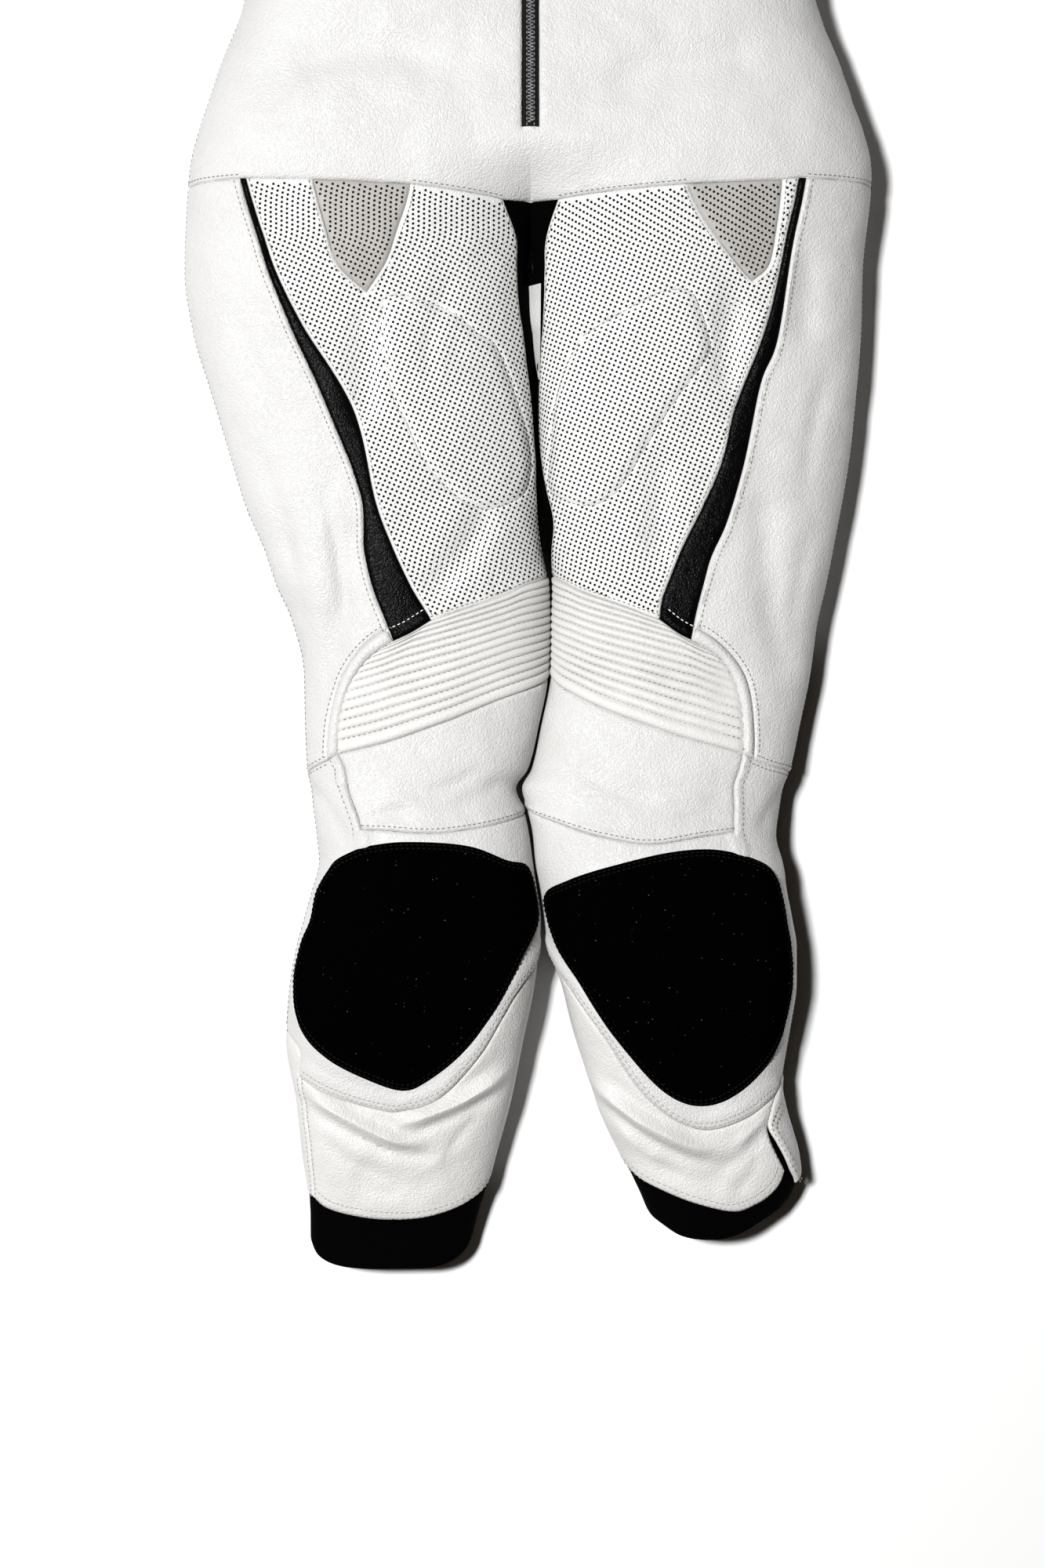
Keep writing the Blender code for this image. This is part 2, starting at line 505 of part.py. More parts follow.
class SleeveForm:
    """One sleeve: positions by turn and distance along the arm."""

    def __init__(self, side):
        self.side = side
        armpit = np.array([ARMPIT_ACROSS, ARMPIT_DOWN])
        shoulder = np.array([SHOULDER_ACROSS, SHOULDER_DOWN])
        self.start = (armpit + shoulder) / 2.0
        across_arm = shoulder - armpit
        self.first_angle = math.atan2(across_arm[1], across_arm[0])

    def frame(self, along):
        axis = np.array([math.sin(SLEEVE_ANGLE), math.cos(SLEEVE_ANGLE)])
        square = math.atan2(-axis[0], axis[1])
        eased = smooth_step(along, 0.0, SLEEVE_TURN_LENGTH)
        angle = self.first_angle + (square - self.first_angle) * eased
        centre = self.start + np.asarray(along, float)[:, None] * axis
        return centre, np.column_stack([np.cos(angle), np.sin(angle)])

    def point(self, turn, along):
        turn = np.asarray(turn, float)
        along = np.asarray(along, float)
        centre, way = self.frame(along)
        width = smooth_table(SLEEVE, along, 1)
        height = smooth_table(SLEEVE, along, 2)
        equator = height * EQUATOR_SHARE
        front = (turn >= 0.0) & (turn <= math.pi)
        across = -ring_across(turn) * width / 2.0
        up = equator + (height - equator) * ring_rise(turn)
        back_turn = np.where(turn < 0.0, -turn, np.clip(2.0 * math.pi - turn, 0.0, math.pi))
        quarter = math.pi / 4.0
        angle = np.clip(np.minimum(back_turn, math.pi - back_turn) / quarter, 0.0, 1.0)
        angle = angle * math.pi / 2.0
        share = np.clip((back_turn - quarter) / (2.0 * quarter), 0.0, 1.0)
        edge = width / 2.0 - equator * (1.0 - np.cos(angle))
        flat = (width / 2.0 - equator) * (2.0 * share - 1.0)
        back_across = np.where(back_turn < quarter, -edge,
                               np.where(back_turn > 3.0 * quarter, edge, flat))
        across = np.where(front, across, back_across)
        up = np.where(front, up, equator * (1.0 - np.sin(angle)))
        plan = centre + across[:, None] * way
        return np.column_stack([plan, up])

    def core(self, turn, along):
        centre, _ = self.frame(along)
        return np.column_stack([centre, smooth_table(SLEEVE, along, 2) * EQUATOR_SHARE])

    def relief(self, turn, along):
        total = np.zeros(len(turn))
        for rise, half_width, place, start, end in SLEEVE_FOLDS:
            slant = place + SLEEVE_FOLD_SLANT * (turn - (start + end) / 2.0)
            reach = smooth_step(turn, start - 0.4, start + 0.2)
            reach = reach * (1.0 - smooth_step(turn, end - 0.2, end + 0.4))
            total += rise * np.exp(-((along - slant) / half_width) ** 2) * reach
        return total * ((turn > 0.0) & (turn < math.pi))

    def world(self, points):
        return np.column_stack([self.side * points[:, 0], SUIT_MIDDLE_DOWN - points[:, 1],
                                points[:, 2]])


def outward(form, turn, down):
    """Unit normals of the bare form, taken inside the sheet that each point is on."""
    small_turn, small_down = 2e-4, 0.05
    sheet_low = np.where(turn < 0.0, -math.pi, np.where(turn > math.pi, math.pi, 0.0))
    sheet_high = np.where(turn < 0.0, BACK_EDGE, sheet_low + math.pi)
    low = np.clip(turn - small_turn, sheet_low, sheet_high)
    high = np.clip(turn + small_turn, sheet_low, sheet_high)
    around = form.point(high, down) - form.point(low, down)
    along = form.point(turn, down + small_down) - form.point(turn, down - small_down)
    normal = np.cross(around, along)
    normal /= np.linalg.norm(normal, axis=1)[:, None]
    away = np.einsum("ij,ij->i", normal, form.point(turn, down) - form.core(turn, down))
    return normal * np.where(away < 0.0, -1.0, 1.0)[:, None]


# ---------------------------------------------------------------- seams of one half
class Seams:
    """Samples each seam once, so that the pieces on both sides share its points."""

    def __init__(self, form, table, spacing):
        self.form = form
        self.table = table
        self.spacing = spacing
        self.made = {}

    def on_form(self, points, back=False):
        """(across, down) to (turn in mm, down)."""
        return np.array([(self.form.turn_at(across, down, back) * TURN_SCALE, down)
                         for across, down in points])

    def run(self, name):
        """A seam's points; a name that ends in @back lies on the back."""
        if name not in self.made:
            back = name not in self.table
            bare_name = name.removesuffix("@back")
            points = self.table[bare_name]
            if bare_name in STRAIGHT_SEAMS:
                points = np.linspace(points[0], points[1], STRAIGHT_SEAMS[bare_name] + 1)
                self.made[name] = self.on_form(points, back)
            else:
                self.made[name] = curve_through(self.on_form(points, back), self.spacing)
        return self.made[name]

    def divide(self, name, count):
        """Samples a seam into a set number of equal steps."""
        on_form = self.on_form(self.table[name])
        length = np.linalg.norm(np.diff(on_form, axis=0), axis=1).sum()
        fine = curve_through(on_form, length / 80.0)
        marks = np.linspace(0, len(fine) - 1, count + 1)
        self.made[name] = np.column_stack([np.interp(marks, np.arange(len(fine)), fine[:, k])
                                           for k in range(2)])

    def loop(self, *names):
        """One closed outline from seams; a minus sign walks a seam backwards."""
        parts = []
        for name in names:
            if isinstance(name, str):
                backwards = name.startswith("-")
                run = self.run(name.lstrip("-"))
                parts.append(run[::-1][:-1] if backwards else run[:-1])
            else:
                parts.append(np.asarray(name, float)[:-1])
        return np.vstack(parts)


def straight_run(turn, start, end, spacing=STRAIGHT_STEP):
    """A seam along the form at one turn."""
    stations = [start]
    low, high = min(start, end), max(start, end)
    marks = np.arange(math.ceil(low / spacing) * spacing, high, spacing)
    marks = marks[(marks > low + spacing * 0.35) & (marks < high - spacing * 0.35)]
    stations.extend(marks if end > start else marks[::-1])
    stations.append(end)
    return np.array([(turn * TURN_SCALE, down) for down in stations])


def level_run(down, start, end, spacing=STRAIGHT_STEP):
    """A seam around the form at one distance down, from one turn to another."""
    count = max(1, int(round(abs(end - start) * TURN_SCALE / spacing)))
    return np.array([(turn * TURN_SCALE, down) for turn in np.linspace(start, end, count + 1)])


# ---------------------------------------------------------------- walls
def triangulated(loop, inner_points, ties):
    """Triangles over an outline. Ties are paths of points that triangle edges must follow."""
    points = [tuple(p) for p in loop]
    edges = [(k, (k + 1) % len(loop)) for k in range(len(loop))]
    for tie in ties:
        first = len(points)
        points.extend(tuple(p) for p in tie)
        edges.extend((k, k + 1) for k in range(first, first + len(tie) - 1))
    points.extend(tuple(p) for p in inner_points)
    found = delaunay_2d_cdt([Vector(p) for p in points], edges, [], 1, 1e-5)
    flat = np.array([tuple(v) for v in found[0]])
    source = found[3]
    where = {old: new for new, olds in enumerate(source) for old in olds}
    rim = [where[k] for k in range(len(loop))]
    return flat, np.array([tuple(f) for f in found[2]]), rim


def grid_inside(loop, step_turn, step_down, clear, paths):
    """Evenly spaced points inside an outline, clear of it and of the given paths."""
    low, high = loop.min(axis=0), loop.max(axis=0)
    turns = np.arange(math.ceil(low[0] / step_turn) * step_turn, high[0], step_turn)
    downs = np.arange(math.ceil(low[1] / step_down) * step_down, high[1], step_down)
    if not len(turns) or not len(downs):
        return np.zeros((0, 2))
    grid = np.array([(turn, down) for turn in turns for down in downs])
    keep = inside_outline(grid, loop)
    grid = grid[keep]
    for path in [np.vstack([loop, loop[:1]])] + list(paths):
        if len(grid):
            gap, _ = distance_to_path(grid, path)
            grid = grid[gap > clear]
    return grid


def drawn_areas(corners):
    """Twice the signed area of each flat triangle."""
    first, second = corners[:, 1] - corners[:, 0], corners[:, 2] - corners[:, 0]
    return first[:, 0] * second[:, 1] - first[:, 1] * second[:, 0]


class Sheet:
    """A triangulated piece of the form: the points and faces that walls are made from."""

    def __init__(self, form, loop, step=FRONT_STEP, ties=(), details=()):
        self.form = form
        clear = min(step) * GRID_CLEAR
        inside = grid_inside(loop, step[0], step[1], clear, list(ties) + list(details))
        for path in details:
            path = path[inside_outline(path, loop)]
            if len(path):
                gap, _ = distance_to_path(path, np.vstack([loop, loop[:1]]))
                inside = np.vstack([inside, path[gap > clear * DETAIL_CLEAR]])
        self.flat, self.faces, self.rim = triangulated(loop, inside, ties)
        self.turn = self.flat[:, 0] / TURN_SCALE
        self.down = self.flat[:, 1]
        self.normal = outward(form, self.turn, self.down)
        self.skin = form.point(self.turn, self.down)
        self.skin = self.skin + self.normal * form.relief(self.turn, self.down)[:, None]

    def pulled_in(self, rim, amount):
        """Moves of the rim points that leave the seam gap, for one closed rim."""
        move = np.zeros_like(self.skin)
        ring = self.skin[rim]
        ways = np.roll(ring, -1, axis=0) - ring
        ways /= np.linalg.norm(ways, axis=1)[:, None]
        inwards = np.cross(self.normal[rim], ways)
        inwards /= np.linalg.norm(inwards, axis=1)[:, None]
        flat = self.flat[rim]
        area = np.sum(flat[:, 0] * np.roll(flat[:, 1], -1) - np.roll(flat[:, 0], -1) * flat[:, 1])
        handed = self.handedness()
        inwards *= math.copysign(1.0, area) * handed
        before = np.roll(inwards, 1, axis=0)
        spread = 1.0 + np.einsum("ij,ij->i", before, inwards)
        move[rim] = amount * (before + inwards) / np.maximum(spread, MITRE_LIMIT)[:, None]
        return move

    def handedness(self):
        """1 where turn, down and outward are right-handed, else minus 1."""
        a, b, c = (self.skin[self.faces[:, k]] for k in range(3))
        faced = np.cross(b - a, c - a)
        mean = self.normal[self.faces].mean(axis=1)
        agree = np.einsum("ij,ij->i", faced, mean) * drawn_areas(self.flat[self.faces])
        return 1.0 if agree.sum() > 0.0 else -1.0

    def drawn_inwards(self, faces):
        """Whether these faces have to be reversed to face outward in the world."""
        outward_way = self.handedness() * self.form.side < 0.0
        return outward_way != (drawn_areas(self.flat[faces]).sum() > 0.0)


def wall_between(form, low, high, faces, rim, flip):
    """A closed wall from matching low and high points, in world metres."""
    count = len(low)
    points = np.vstack([form.world(high), form.world(low)]) * METRE
    points[:, 2] = np.maximum(points[:, 2], 0.0)
    out = [tuple(face[::-1]) if flip else tuple(face) for face in faces]
    under = [tuple(count + k for k in face[::-1]) for face in out]
    edges = set()
    for face in out:
        for k in range(3):
            edges.add((face[k], face[(k + 1) % 3]))
    sides = []
    for k, start in enumerate(rim):
        end = rim[(k + 1) % len(rim)]
        a, b = (start, end) if (start, end) in edges else (end, start)
        sides.append((b, a, count + a))
        sides.append((b, count + a, count + b))
    return points, out + under + sides


def add_object(name, points, faces, finish):
    """One mesh object with its own material."""
    mesh = bpy.data.meshes.new(name)
    mesh.from_pydata([tuple(p) for p in points], [], [tuple(int(k) for k in f) for f in faces])
    mesh.update()
    colour, roughness = FINISHES[finish]
    material = bpy.data.materials.new(name + "_finish")
    material.use_nodes = True
    shader = material.node_tree.nodes["Principled BSDF"]
    shader.inputs["Base Color"].default_value = (*colour, 1.0)
    shader.inputs["Roughness"].default_value = roughness
    shader.inputs["Metallic"].default_value = 1.0 if finish == "dark_metal" else 0.0
    mesh.materials.append(material)
    made = bpy.data.objects.new(name, mesh)
    bpy.context.scene.collection.objects.link(made)
    return made


def add_wall(name, sheet, thickness, finish, rise=None, sink=0.0):
    """A piece of cloth: the sheet's points with a thickness, drawn in at its seams."""
    rise = np.zeros(len(sheet.skin)) if rise is None else rise
    move = sheet.pulled_in(sheet.rim, SEAM_GAP / 2.0)
    high = sheet.skin + move + sheet.normal * (rise - sink)[:, None]
    low = sheet.skin + move - sheet.normal * (sink + thickness)
    flip = sheet.drawn_inwards(sheet.faces)
    points, faces = wall_between(sheet.form, low, high, sheet.faces, sheet.rim, flip)
    return add_object(name, points, faces, finish)


def rim_of(faces):
    """The single closed rim of a patch of triangles, in order."""
    follow = {}
    pairs = set()
    for face in faces:
        for k in range(3):
            pairs.add((face[k], face[(k + 1) % 3]))
    for a, b in pairs:
        if (b, a) not in pairs:
            follow[a] = b
    start = next(iter(follow))
    ring = [start]
    while follow[ring[-1]] != start:
        ring.append(follow[ring[-1]])
    return ring


def add_layer(name, sheet, outline, thickness, finish):
    """A piece sewn on a sheet: the sheet's own points inside an outline, moved out."""
    centres = sheet.flat[sheet.faces].mean(axis=1)
    faces = sheet.faces[inside_outline(centres, outline)]
    flip = sheet.drawn_inwards(faces)
    used = np.unique(faces)
    place = {old: new for new, old in enumerate(used)}
    faces = np.array([[place[k] for k in face] for face in faces])
    skin, normal = sheet.skin[used], sheet.normal[used]
    low = skin + normal * LAYER_GAP
    high = skin + normal * (LAYER_GAP + thickness)
    points, sides = wall_between(sheet.form, low, high, faces, rim_of(faces), flip)
    return add_object(name, points, sides, finish)


# ---------------------------------------------------------------- one leg
def detail_points(form, seams):
    """Points that let the mesh follow each fold and the padded field."""
    paths = []
    for _, half_width, path in form.folds.values():
        on_form = curve_through(seams.on_form(path), DETAIL_STEP)
        ways = np.gradient(on_form, axis=0)
        ways /= np.linalg.norm(ways, axis=1)[:, None]
        beside = np.column_stack([-ways[:, 1], ways[:, 0]]) * half_width * FOLD_FOOT
        paths.extend([on_form, on_form + beside, on_form - beside])
    if form.pad is not None:
        outline = seams.on_form(form.pad)
        middle = outline.mean(axis=0)
        closed = np.vstack([outline, outline[:1]])
        paths.append(curve_through(closed, DETAIL_STEP)[:-1])
        raised = middle + (closed - middle) * PAD_TOP_SHARE
        paths.append(curve_through(raised, DETAIL_STEP)[:-1])
    return paths


def rib_sheet(form, seams):
    """The accordion panel: rows of points on every rib's crest and on every valley."""
    rows = RIB_COUNT * 2
    top = np.vstack([seams.run("stripe_end")[::-1], seams.run("rib_top")[1:]])
    bottom = seams.run("rib_bottom")
    curve = seams.run("rib_curve")
    edge = np.column_stack([np.zeros(rows + 1), np.linspace(top[-1, 1], bottom[-1, 1], rows + 1)])
    across = np.linspace(0.0, 1.0, len(top))[:, None]
    grid = []
    for row in range(rows + 1):
        share = row / rows
        sides = curve[row] * (1.0 - across) + edge[row] * across
        ends = top * (1.0 - share) + bottom * share
        corners = ((top[0] * (1.0 - share) + bottom[0] * share) * (1.0 - across)
                   + (top[-1] * (1.0 - share) + bottom[-1] * share) * across)
        grid.append(sides + ends - corners)
    loop = np.vstack([top[:-1], edge[:-1], bottom[::-1][:-1], curve[::-1][:-1]])
    ties = [grid[row][1:-1] for row in range(1, rows)]
    sheet = Sheet(form, loop, step=(1e4, 1e4), ties=ties)
    crests = np.vstack([grid[row][1:-1] for row in range(1, rows, 2)])
    gaps = np.linalg.norm(sheet.flat[:, None, :] - crests[None, :, :], axis=2).min(axis=1)
    return sheet, np.where(gaps < 1e-3, RIB_RISE, 0.0)


def build_thigh(name, form, seams, details):
    """The pieces from the hip yoke to the knee."""
    table = seams.table
    cross_end = table["cross_outer"][-1][1]
    yoke_end = table["yoke_outer"][-1][1]
    outer = seams.loop("yoke_outer", straight_run(math.pi, yoke_end, cross_end),
                       "-cross_outer", "-band_outer", "-stripe_outer")
    add_wall(name + "_outer_thigh", Sheet(form, outer, details=details), LEATHER,
             "white_leather")
    stripe = seams.loop("yoke_stripe", "stripe_outer", "-stripe_end", "-stripe_inner")
    add_wall(name + "_stripe", Sheet(form, stripe), LEATHER, "black_leather")
    band = Sheet(form, seams.loop("band_outer", "-band_end", "-rib_curve"))
    add_wall(name + "_rib_band", band, LEATHER, "white_leather",
             rise=np.full(len(band.skin), BAND_RISE))
    insert = seams.loop("yoke_insert", "insert_outer", "-insert_inner")
    add_wall(name + "_hip_insert", Sheet(form, insert), LEATHER, "grey_leather")
    thigh = seams.loop("yoke_thigh", "insert_inner", "-insert_outer", "yoke_pocket",
                       "stripe_inner", "rib_top", "-thigh_inner")
    add_wall(name + "_thigh_front", Sheet(form, thigh, details=details), LEATHER,
             "white_leather")
    inseam = seams.loop("yoke_crotch", "thigh_inner",
                        level_run(INSEAM_LOW_DOWN, 0.0, INSEAM_TURN),
                        straight_run(INSEAM_TURN, INSEAM_LOW_DOWN, INSEAM_TOP_DOWN),
                        level_run(INSEAM_TOP_DOWN, INSEAM_TURN, 0.0),
                        straight_run(0.0, INSEAM_TOP_DOWN, table["yoke_crotch"][0][1]))
    add_wall(name + "_inner_stretch", Sheet(form, inseam), STRETCH, "black_stretch")
    ribs, rise = rib_sheet(form, seams)
    add_wall(name + "_rib_panel", ribs, STRETCH, "white_leather", rise=rise)


def build_knee(name, form, seams, patch, details):
    """The plain piece above the knee, the knee itself and the patch sewn on it."""
    table = seams.table
    upper = seams.loop("-rib_bottom", "knee_side", "knee_seam",
                       straight_run(0.0, table["knee_seam"][-1][1], table["rib_bottom"][-1][1]))
    add_wall(name + "_knee_upper", Sheet(form, upper, details=details), LEATHER,
             "white_leather")
    knee = seams.loop("band_end", "cross_outer",
                      straight_run(math.pi, table["cross_outer"][-1][1],
                                   table["zip_top"][0][1]),
                      "zip_top", "surround",
                      straight_run(0.0, table["surround"][-1][1], table["knee_seam"][-1][1]),
                      "-knee_seam", "-knee_side")
    outline = seams.on_form(patch)
    outline = curve_through(np.vstack([outline, outline[:1]]), DETAIL_STEP)[:-1]
    sheet = Sheet(form, knee, ties=[np.vstack([outline, outline[:1]])], details=details)
    add_wall(name + "_knee_panel", sheet, LEATHER, "white_leather")
    add_layer(name + "_knee_patch", sheet, outline, PATCH_THICKNESS, "black_loop")


def hem_line(outer_hem, inner_hem):
    """The hem across the back of the ankle, from the outer edge to the inner."""
    count = 9
    turns = np.linspace(-math.pi, BACK_EDGE, count) * TURN_SCALE
    return np.column_stack([turns, np.linspace(outer_hem, inner_hem, count)])


def build_shin(name, form, seams, details):
    """The creased shin, the strip beside the ankle zip, and the cuff."""
    table = seams.table
    inner_hem = table["hem"][-1][1]
    outer_hem = table["hem_side"][-1][1]
    shin = seams.loop("zip_side", "hem",
                      straight_run(0.0, inner_hem, table["surround"][-1][1]), "-surround")
    add_wall(name + "_shin", Sheet(form, shin, details=details), LEATHER, "white_leather")
    strip = seams.loop(straight_run(math.pi, table["zip_top"][0][1], outer_hem),
                       "-hem_side", "-zip_side", "-zip_top")
    add_wall(name + "_ankle_strip", Sheet(form, strip, step=STRIP_STEP), STRETCH,
             "white_leather")
    full_turn = 2.0 * math.pi
    back_hem = hem_line(outer_hem, inner_hem) + (full_turn * TURN_SCALE, 0.0)
    back_end = seams.run("cuff_end@back") + (full_turn * TURN_SCALE, 0.0)
    cuff_inner = table["cuff_end"][-1][1]
    cuff = seams.loop("-hem", "hem_side", back_hem,
                      straight_run(full_turn + BACK_EDGE, inner_hem, cuff_inner),
                      back_end[::-1], "cuff_end",
                      straight_run(0.0, cuff_inner, inner_hem))
    add_wall(name + "_ankle_cuff", Sheet(form, cuff), STRETCH, "black_stretch",
             sink=CUFF_SINK)


def build_leg_back(name, form, seams):
    """The pieces that the leg lies on."""
    table = seams.table
    outer_hem = table["hem_side"][-1][1]
    inner_hem = table["hem"][-1][1]

    def back_piece(piece, finish, wall, *runs):
        add_wall(name + piece, Sheet(form, seams.loop(*runs), step=BACK_STEP), wall, finish)

    back_piece("_back_thigh", "white_leather", LEATHER,
               level_run(INSEAM_TOP_DOWN, -math.pi, INSEAM_TURN),
               straight_run(INSEAM_TURN, INSEAM_TOP_DOWN, INSEAM_LOW_DOWN),
               level_run(INSEAM_LOW_DOWN, INSEAM_TURN, BACK_EDGE),
               straight_run(BACK_EDGE, INSEAM_LOW_DOWN, BACK_KNEE_DOWN),
               level_run(BACK_KNEE_DOWN, BACK_EDGE, -math.pi),
               straight_run(-math.pi, BACK_KNEE_DOWN, INSEAM_TOP_DOWN))
    back_piece("_back_knee", "black_stretch", STRETCH,
               level_run(BACK_KNEE_DOWN, -math.pi, BACK_EDGE),
               straight_run(BACK_EDGE, BACK_KNEE_DOWN, CALF_DOWN),
               level_run(CALF_DOWN, BACK_EDGE, -math.pi),
               straight_run(-math.pi, CALF_DOWN, BACK_KNEE_DOWN))
    back_piece("_calf", "black_stretch", STRETCH,
               level_run(CALF_DOWN, -math.pi, BACK_EDGE),
               straight_run(BACK_EDGE, CALF_DOWN, inner_hem),
               hem_line(outer_hem, inner_hem)[::-1],
               straight_run(-math.pi, outer_hem, CALF_DOWN))


def build_body(name, form, seams, details):
    """One half of the hips and chest, front and back."""
    yoke_end = seams.table["yoke_outer"][-1][1]
    yoke_start = seams.table["yoke_crotch"][0][1]
    hip = seams.loop("zip_foot", "zip_low", "waist",
                     straight_run(math.pi, WAIST_DOWN, yoke_end), "-yoke_outer",
                     "-yoke_stripe", "-yoke_pocket", "-yoke_insert", "-yoke_thigh",
                     "-yoke_crotch", straight_run(0.0, yoke_start, ZIP_BOTTOM_DOWN))
    add_wall(name + "_hip_front", Sheet(form, hip, details=details), LEATHER, "white_leather")
    chest = seams.loop("zip_high", "neck_front", "shoulder",
                       straight_run(math.pi, SHOULDER_DOWN, ARMPIT_DOWN, ARMHOLE_STEP),
                       straight_run(math.pi, ARMPIT_DOWN, WAIST_DOWN), "-waist")
    add_wall(name + "_chest", Sheet(form, chest, details=details), LEATHER, "white_leather")
    seat = seams.loop(level_run(WAIST_DOWN, BACK_EDGE, -math.pi),
                      straight_run(-math.pi, WAIST_DOWN, INSEAM_TOP_DOWN),
                      level_run(INSEAM_TOP_DOWN, -math.pi, INSEAM_TURN),
                      level_run(INSEAM_TOP_DOWN, INSEAM_TURN, BACK_EDGE),
                      straight_run(BACK_EDGE, INSEAM_TOP_DOWN, WAIST_DOWN))
    add_wall(name + "_seat", Sheet(form, seat, step=BACK_STEP), LEATHER, "white_leather")
    back = seams.loop("neck_back@back", "shoulder@back",
                      straight_run(-math.pi, SHOULDER_DOWN, ARMPIT_DOWN, ARMHOLE_STEP),
                      straight_run(-math.pi, ARMPIT_DOWN, WAIST_DOWN),
                      level_run(WAIST_DOWN, -math.pi, BACK_EDGE),
                      straight_run(BACK_EDGE, WAIST_DOWN, seams.table["neck_back"][0][1]))
    add_wall(name + "_back", Sheet(form, back, step=BACK_STEP), LEATHER, "white_leather")


def build_sleeve(name, side):
    """The upper and under halves of one sleeve, and its cuff."""
    form = SleeveForm(side)
    seams = Seams(form, {}, SEAM_STEP)
    end = SLEEVE[-1][0]
    start = SLEEVE_START
    folds = []
    for _, half_width, place, low, high in SLEEVE_FOLDS:
        turns = np.linspace(low, high, 4)
        lean = SLEEVE_FOLD_SLANT * (turns - (low + high) / 2.0)
        ridge = np.column_stack([turns * TURN_SCALE, place + lean])
        folds.extend([ridge, ridge + (0.0, half_width), ridge - (0.0, half_width)])
    upper = seams.loop(level_run(start, 0.0, math.pi),
                       straight_run(math.pi, start, SLEEVE_CUFF_ALONG),
                       level_run(SLEEVE_CUFF_ALONG, math.pi, 0.0),
                       straight_run(0.0, SLEEVE_CUFF_ALONG, start))
    add_wall(name + "_sleeve_upper", Sheet(form, upper, step=SLEEVE_FRONT_STEP, details=folds),
             LEATHER, "white_leather")
    under = seams.loop(level_run(start, -math.pi, BACK_EDGE),
                       straight_run(BACK_EDGE, start, SLEEVE_CUFF_ALONG),
                       level_run(SLEEVE_CUFF_ALONG, BACK_EDGE, -math.pi),
                       straight_run(-math.pi, SLEEVE_CUFF_ALONG, start))
    add_wall(name + "_sleeve_under", Sheet(form, under, step=SLEEVE_BACK_STEP), STRETCH,
             "black_stretch")
    full_turn = 2.0 * math.pi
    cuff = seams.loop(level_run(SLEEVE_CUFF_ALONG, 0.0, full_turn + BACK_EDGE),
                      straight_run(full_turn + BACK_EDGE, SLEEVE_CUFF_ALONG, end),
                      level_run(end, full_turn + BACK_EDGE, 0.0),
                      straight_run(0.0, end, SLEEVE_CUFF_ALONG))
    add_wall(name + "_sleeve_cuff", Sheet(form, cuff), STRETCH, "black_stretch",
             sink=CUFF_SINK)


# ---------------------------------------------------------------- collar and zip
def neck_line(form, seams):
    """The neck of one half, from the zip round the side to the middle of the back."""
    front = seams.run("neck_front")
    back = seams.run("neck_back@back")[::-1]
    flat = np.vstack([front, back[1:]])
    return form.world(form.point(flat[:, 0] / TURN_SCALE, flat[:, 1]))


def build_collar(right, right_seams, left, left_seams):
    """A stand collar, open at the zip, that lies back over the neck opening."""
    ring = np.vstack([neck_line(right, right_seams), neck_line(left, left_seams)[::-1][1:]])
    middle = ring.mean(axis=0)
    ways = np.gradient(ring, axis=0)
    outwards = np.column_stack([ways[:, 2], np.zeros(len(ring)), -ways[:, 0]])
    outwards /= np.linalg.norm(outwards, axis=1)[:, None]
    away = np.einsum("ij,ij->i", outwards, ring - middle)
    outwards *= np.where(away < 0.0, -1.0, 1.0)[:, None]
    top_y = SUIT_MIDDLE_DOWN - COLLAR_TOP_DOWN
    levels = []
    for row in range(COLLAR_ROWS + 1):
        share = row / COLLAR_ROWS
        level = ring.copy()
        front = np.clip((ring[:, 2] - BODY_EQUATOR) / (BODY_RING_HEIGHT - BODY_EQUATOR), 0.0, 1.0)
        level[:, 1] += COLLAR_GAP + share * np.minimum(COLLAR_HEIGHT, top_y - ring[:, 1]
                                                     - COLLAR_GAP)
        level[:, 2] -= share * COLLAR_LEAN * front
        level[:, 0] *= 1.0 - COLLAR_TAPER * share
        levels.append(level)
    count = len(ring)
    skin = np.vstack(levels)
    inside = skin - np.vstack([outwards] * (COLLAR_ROWS + 1)) * COLLAR_WALL
    points = np.vstack([skin, inside]) * METRE
    total = len(skin)
    faces = []
    for row in range(COLLAR_ROWS):
        for k in range(count - 1):
            a, b = row * count + k, row * count + k + 1
            c, d = b + count, a + count
            faces.append((a, b, c, d))
            faces.append((total + d, total + c, total + b, total + a))
    for k in range(count - 1):
        a, b = k, k + 1
        faces.append((b, a, total + a, total + b))
        c, d = COLLAR_ROWS * count + k, COLLAR_ROWS * count + k + 1
        faces.append((c, d, total + d, total + c))
    for row in range(COLLAR_ROWS):
        a, b = row * count, (row + 1) * count
        faces.append((a, b, total + b, total + a))
        c, d = a + count - 1, b + count - 1
        faces.append((d, c, total + c, total + d))
    add_object("collar", points, turned_out(points, faces), "black_leather")


def turned_out(points, faces):
    """The same faces, all reversed if the closed mesh that they make is inside out."""
    volume = 0.0
    for face in faces:
        first = points[face[0]]
        for k in range(1, len(face) - 1):
            volume += np.dot(first, np.cross(points[face[k]], points[face[k + 1]]))
    return [face[::-1] for face in faces] if volume < 0.0 else faces


def zip_height(form, down):
    """The height of the suit's front along the zip."""
    at = np.full(1, float(down))
    return float(form.point(np.zeros(1), at)[0, 2])


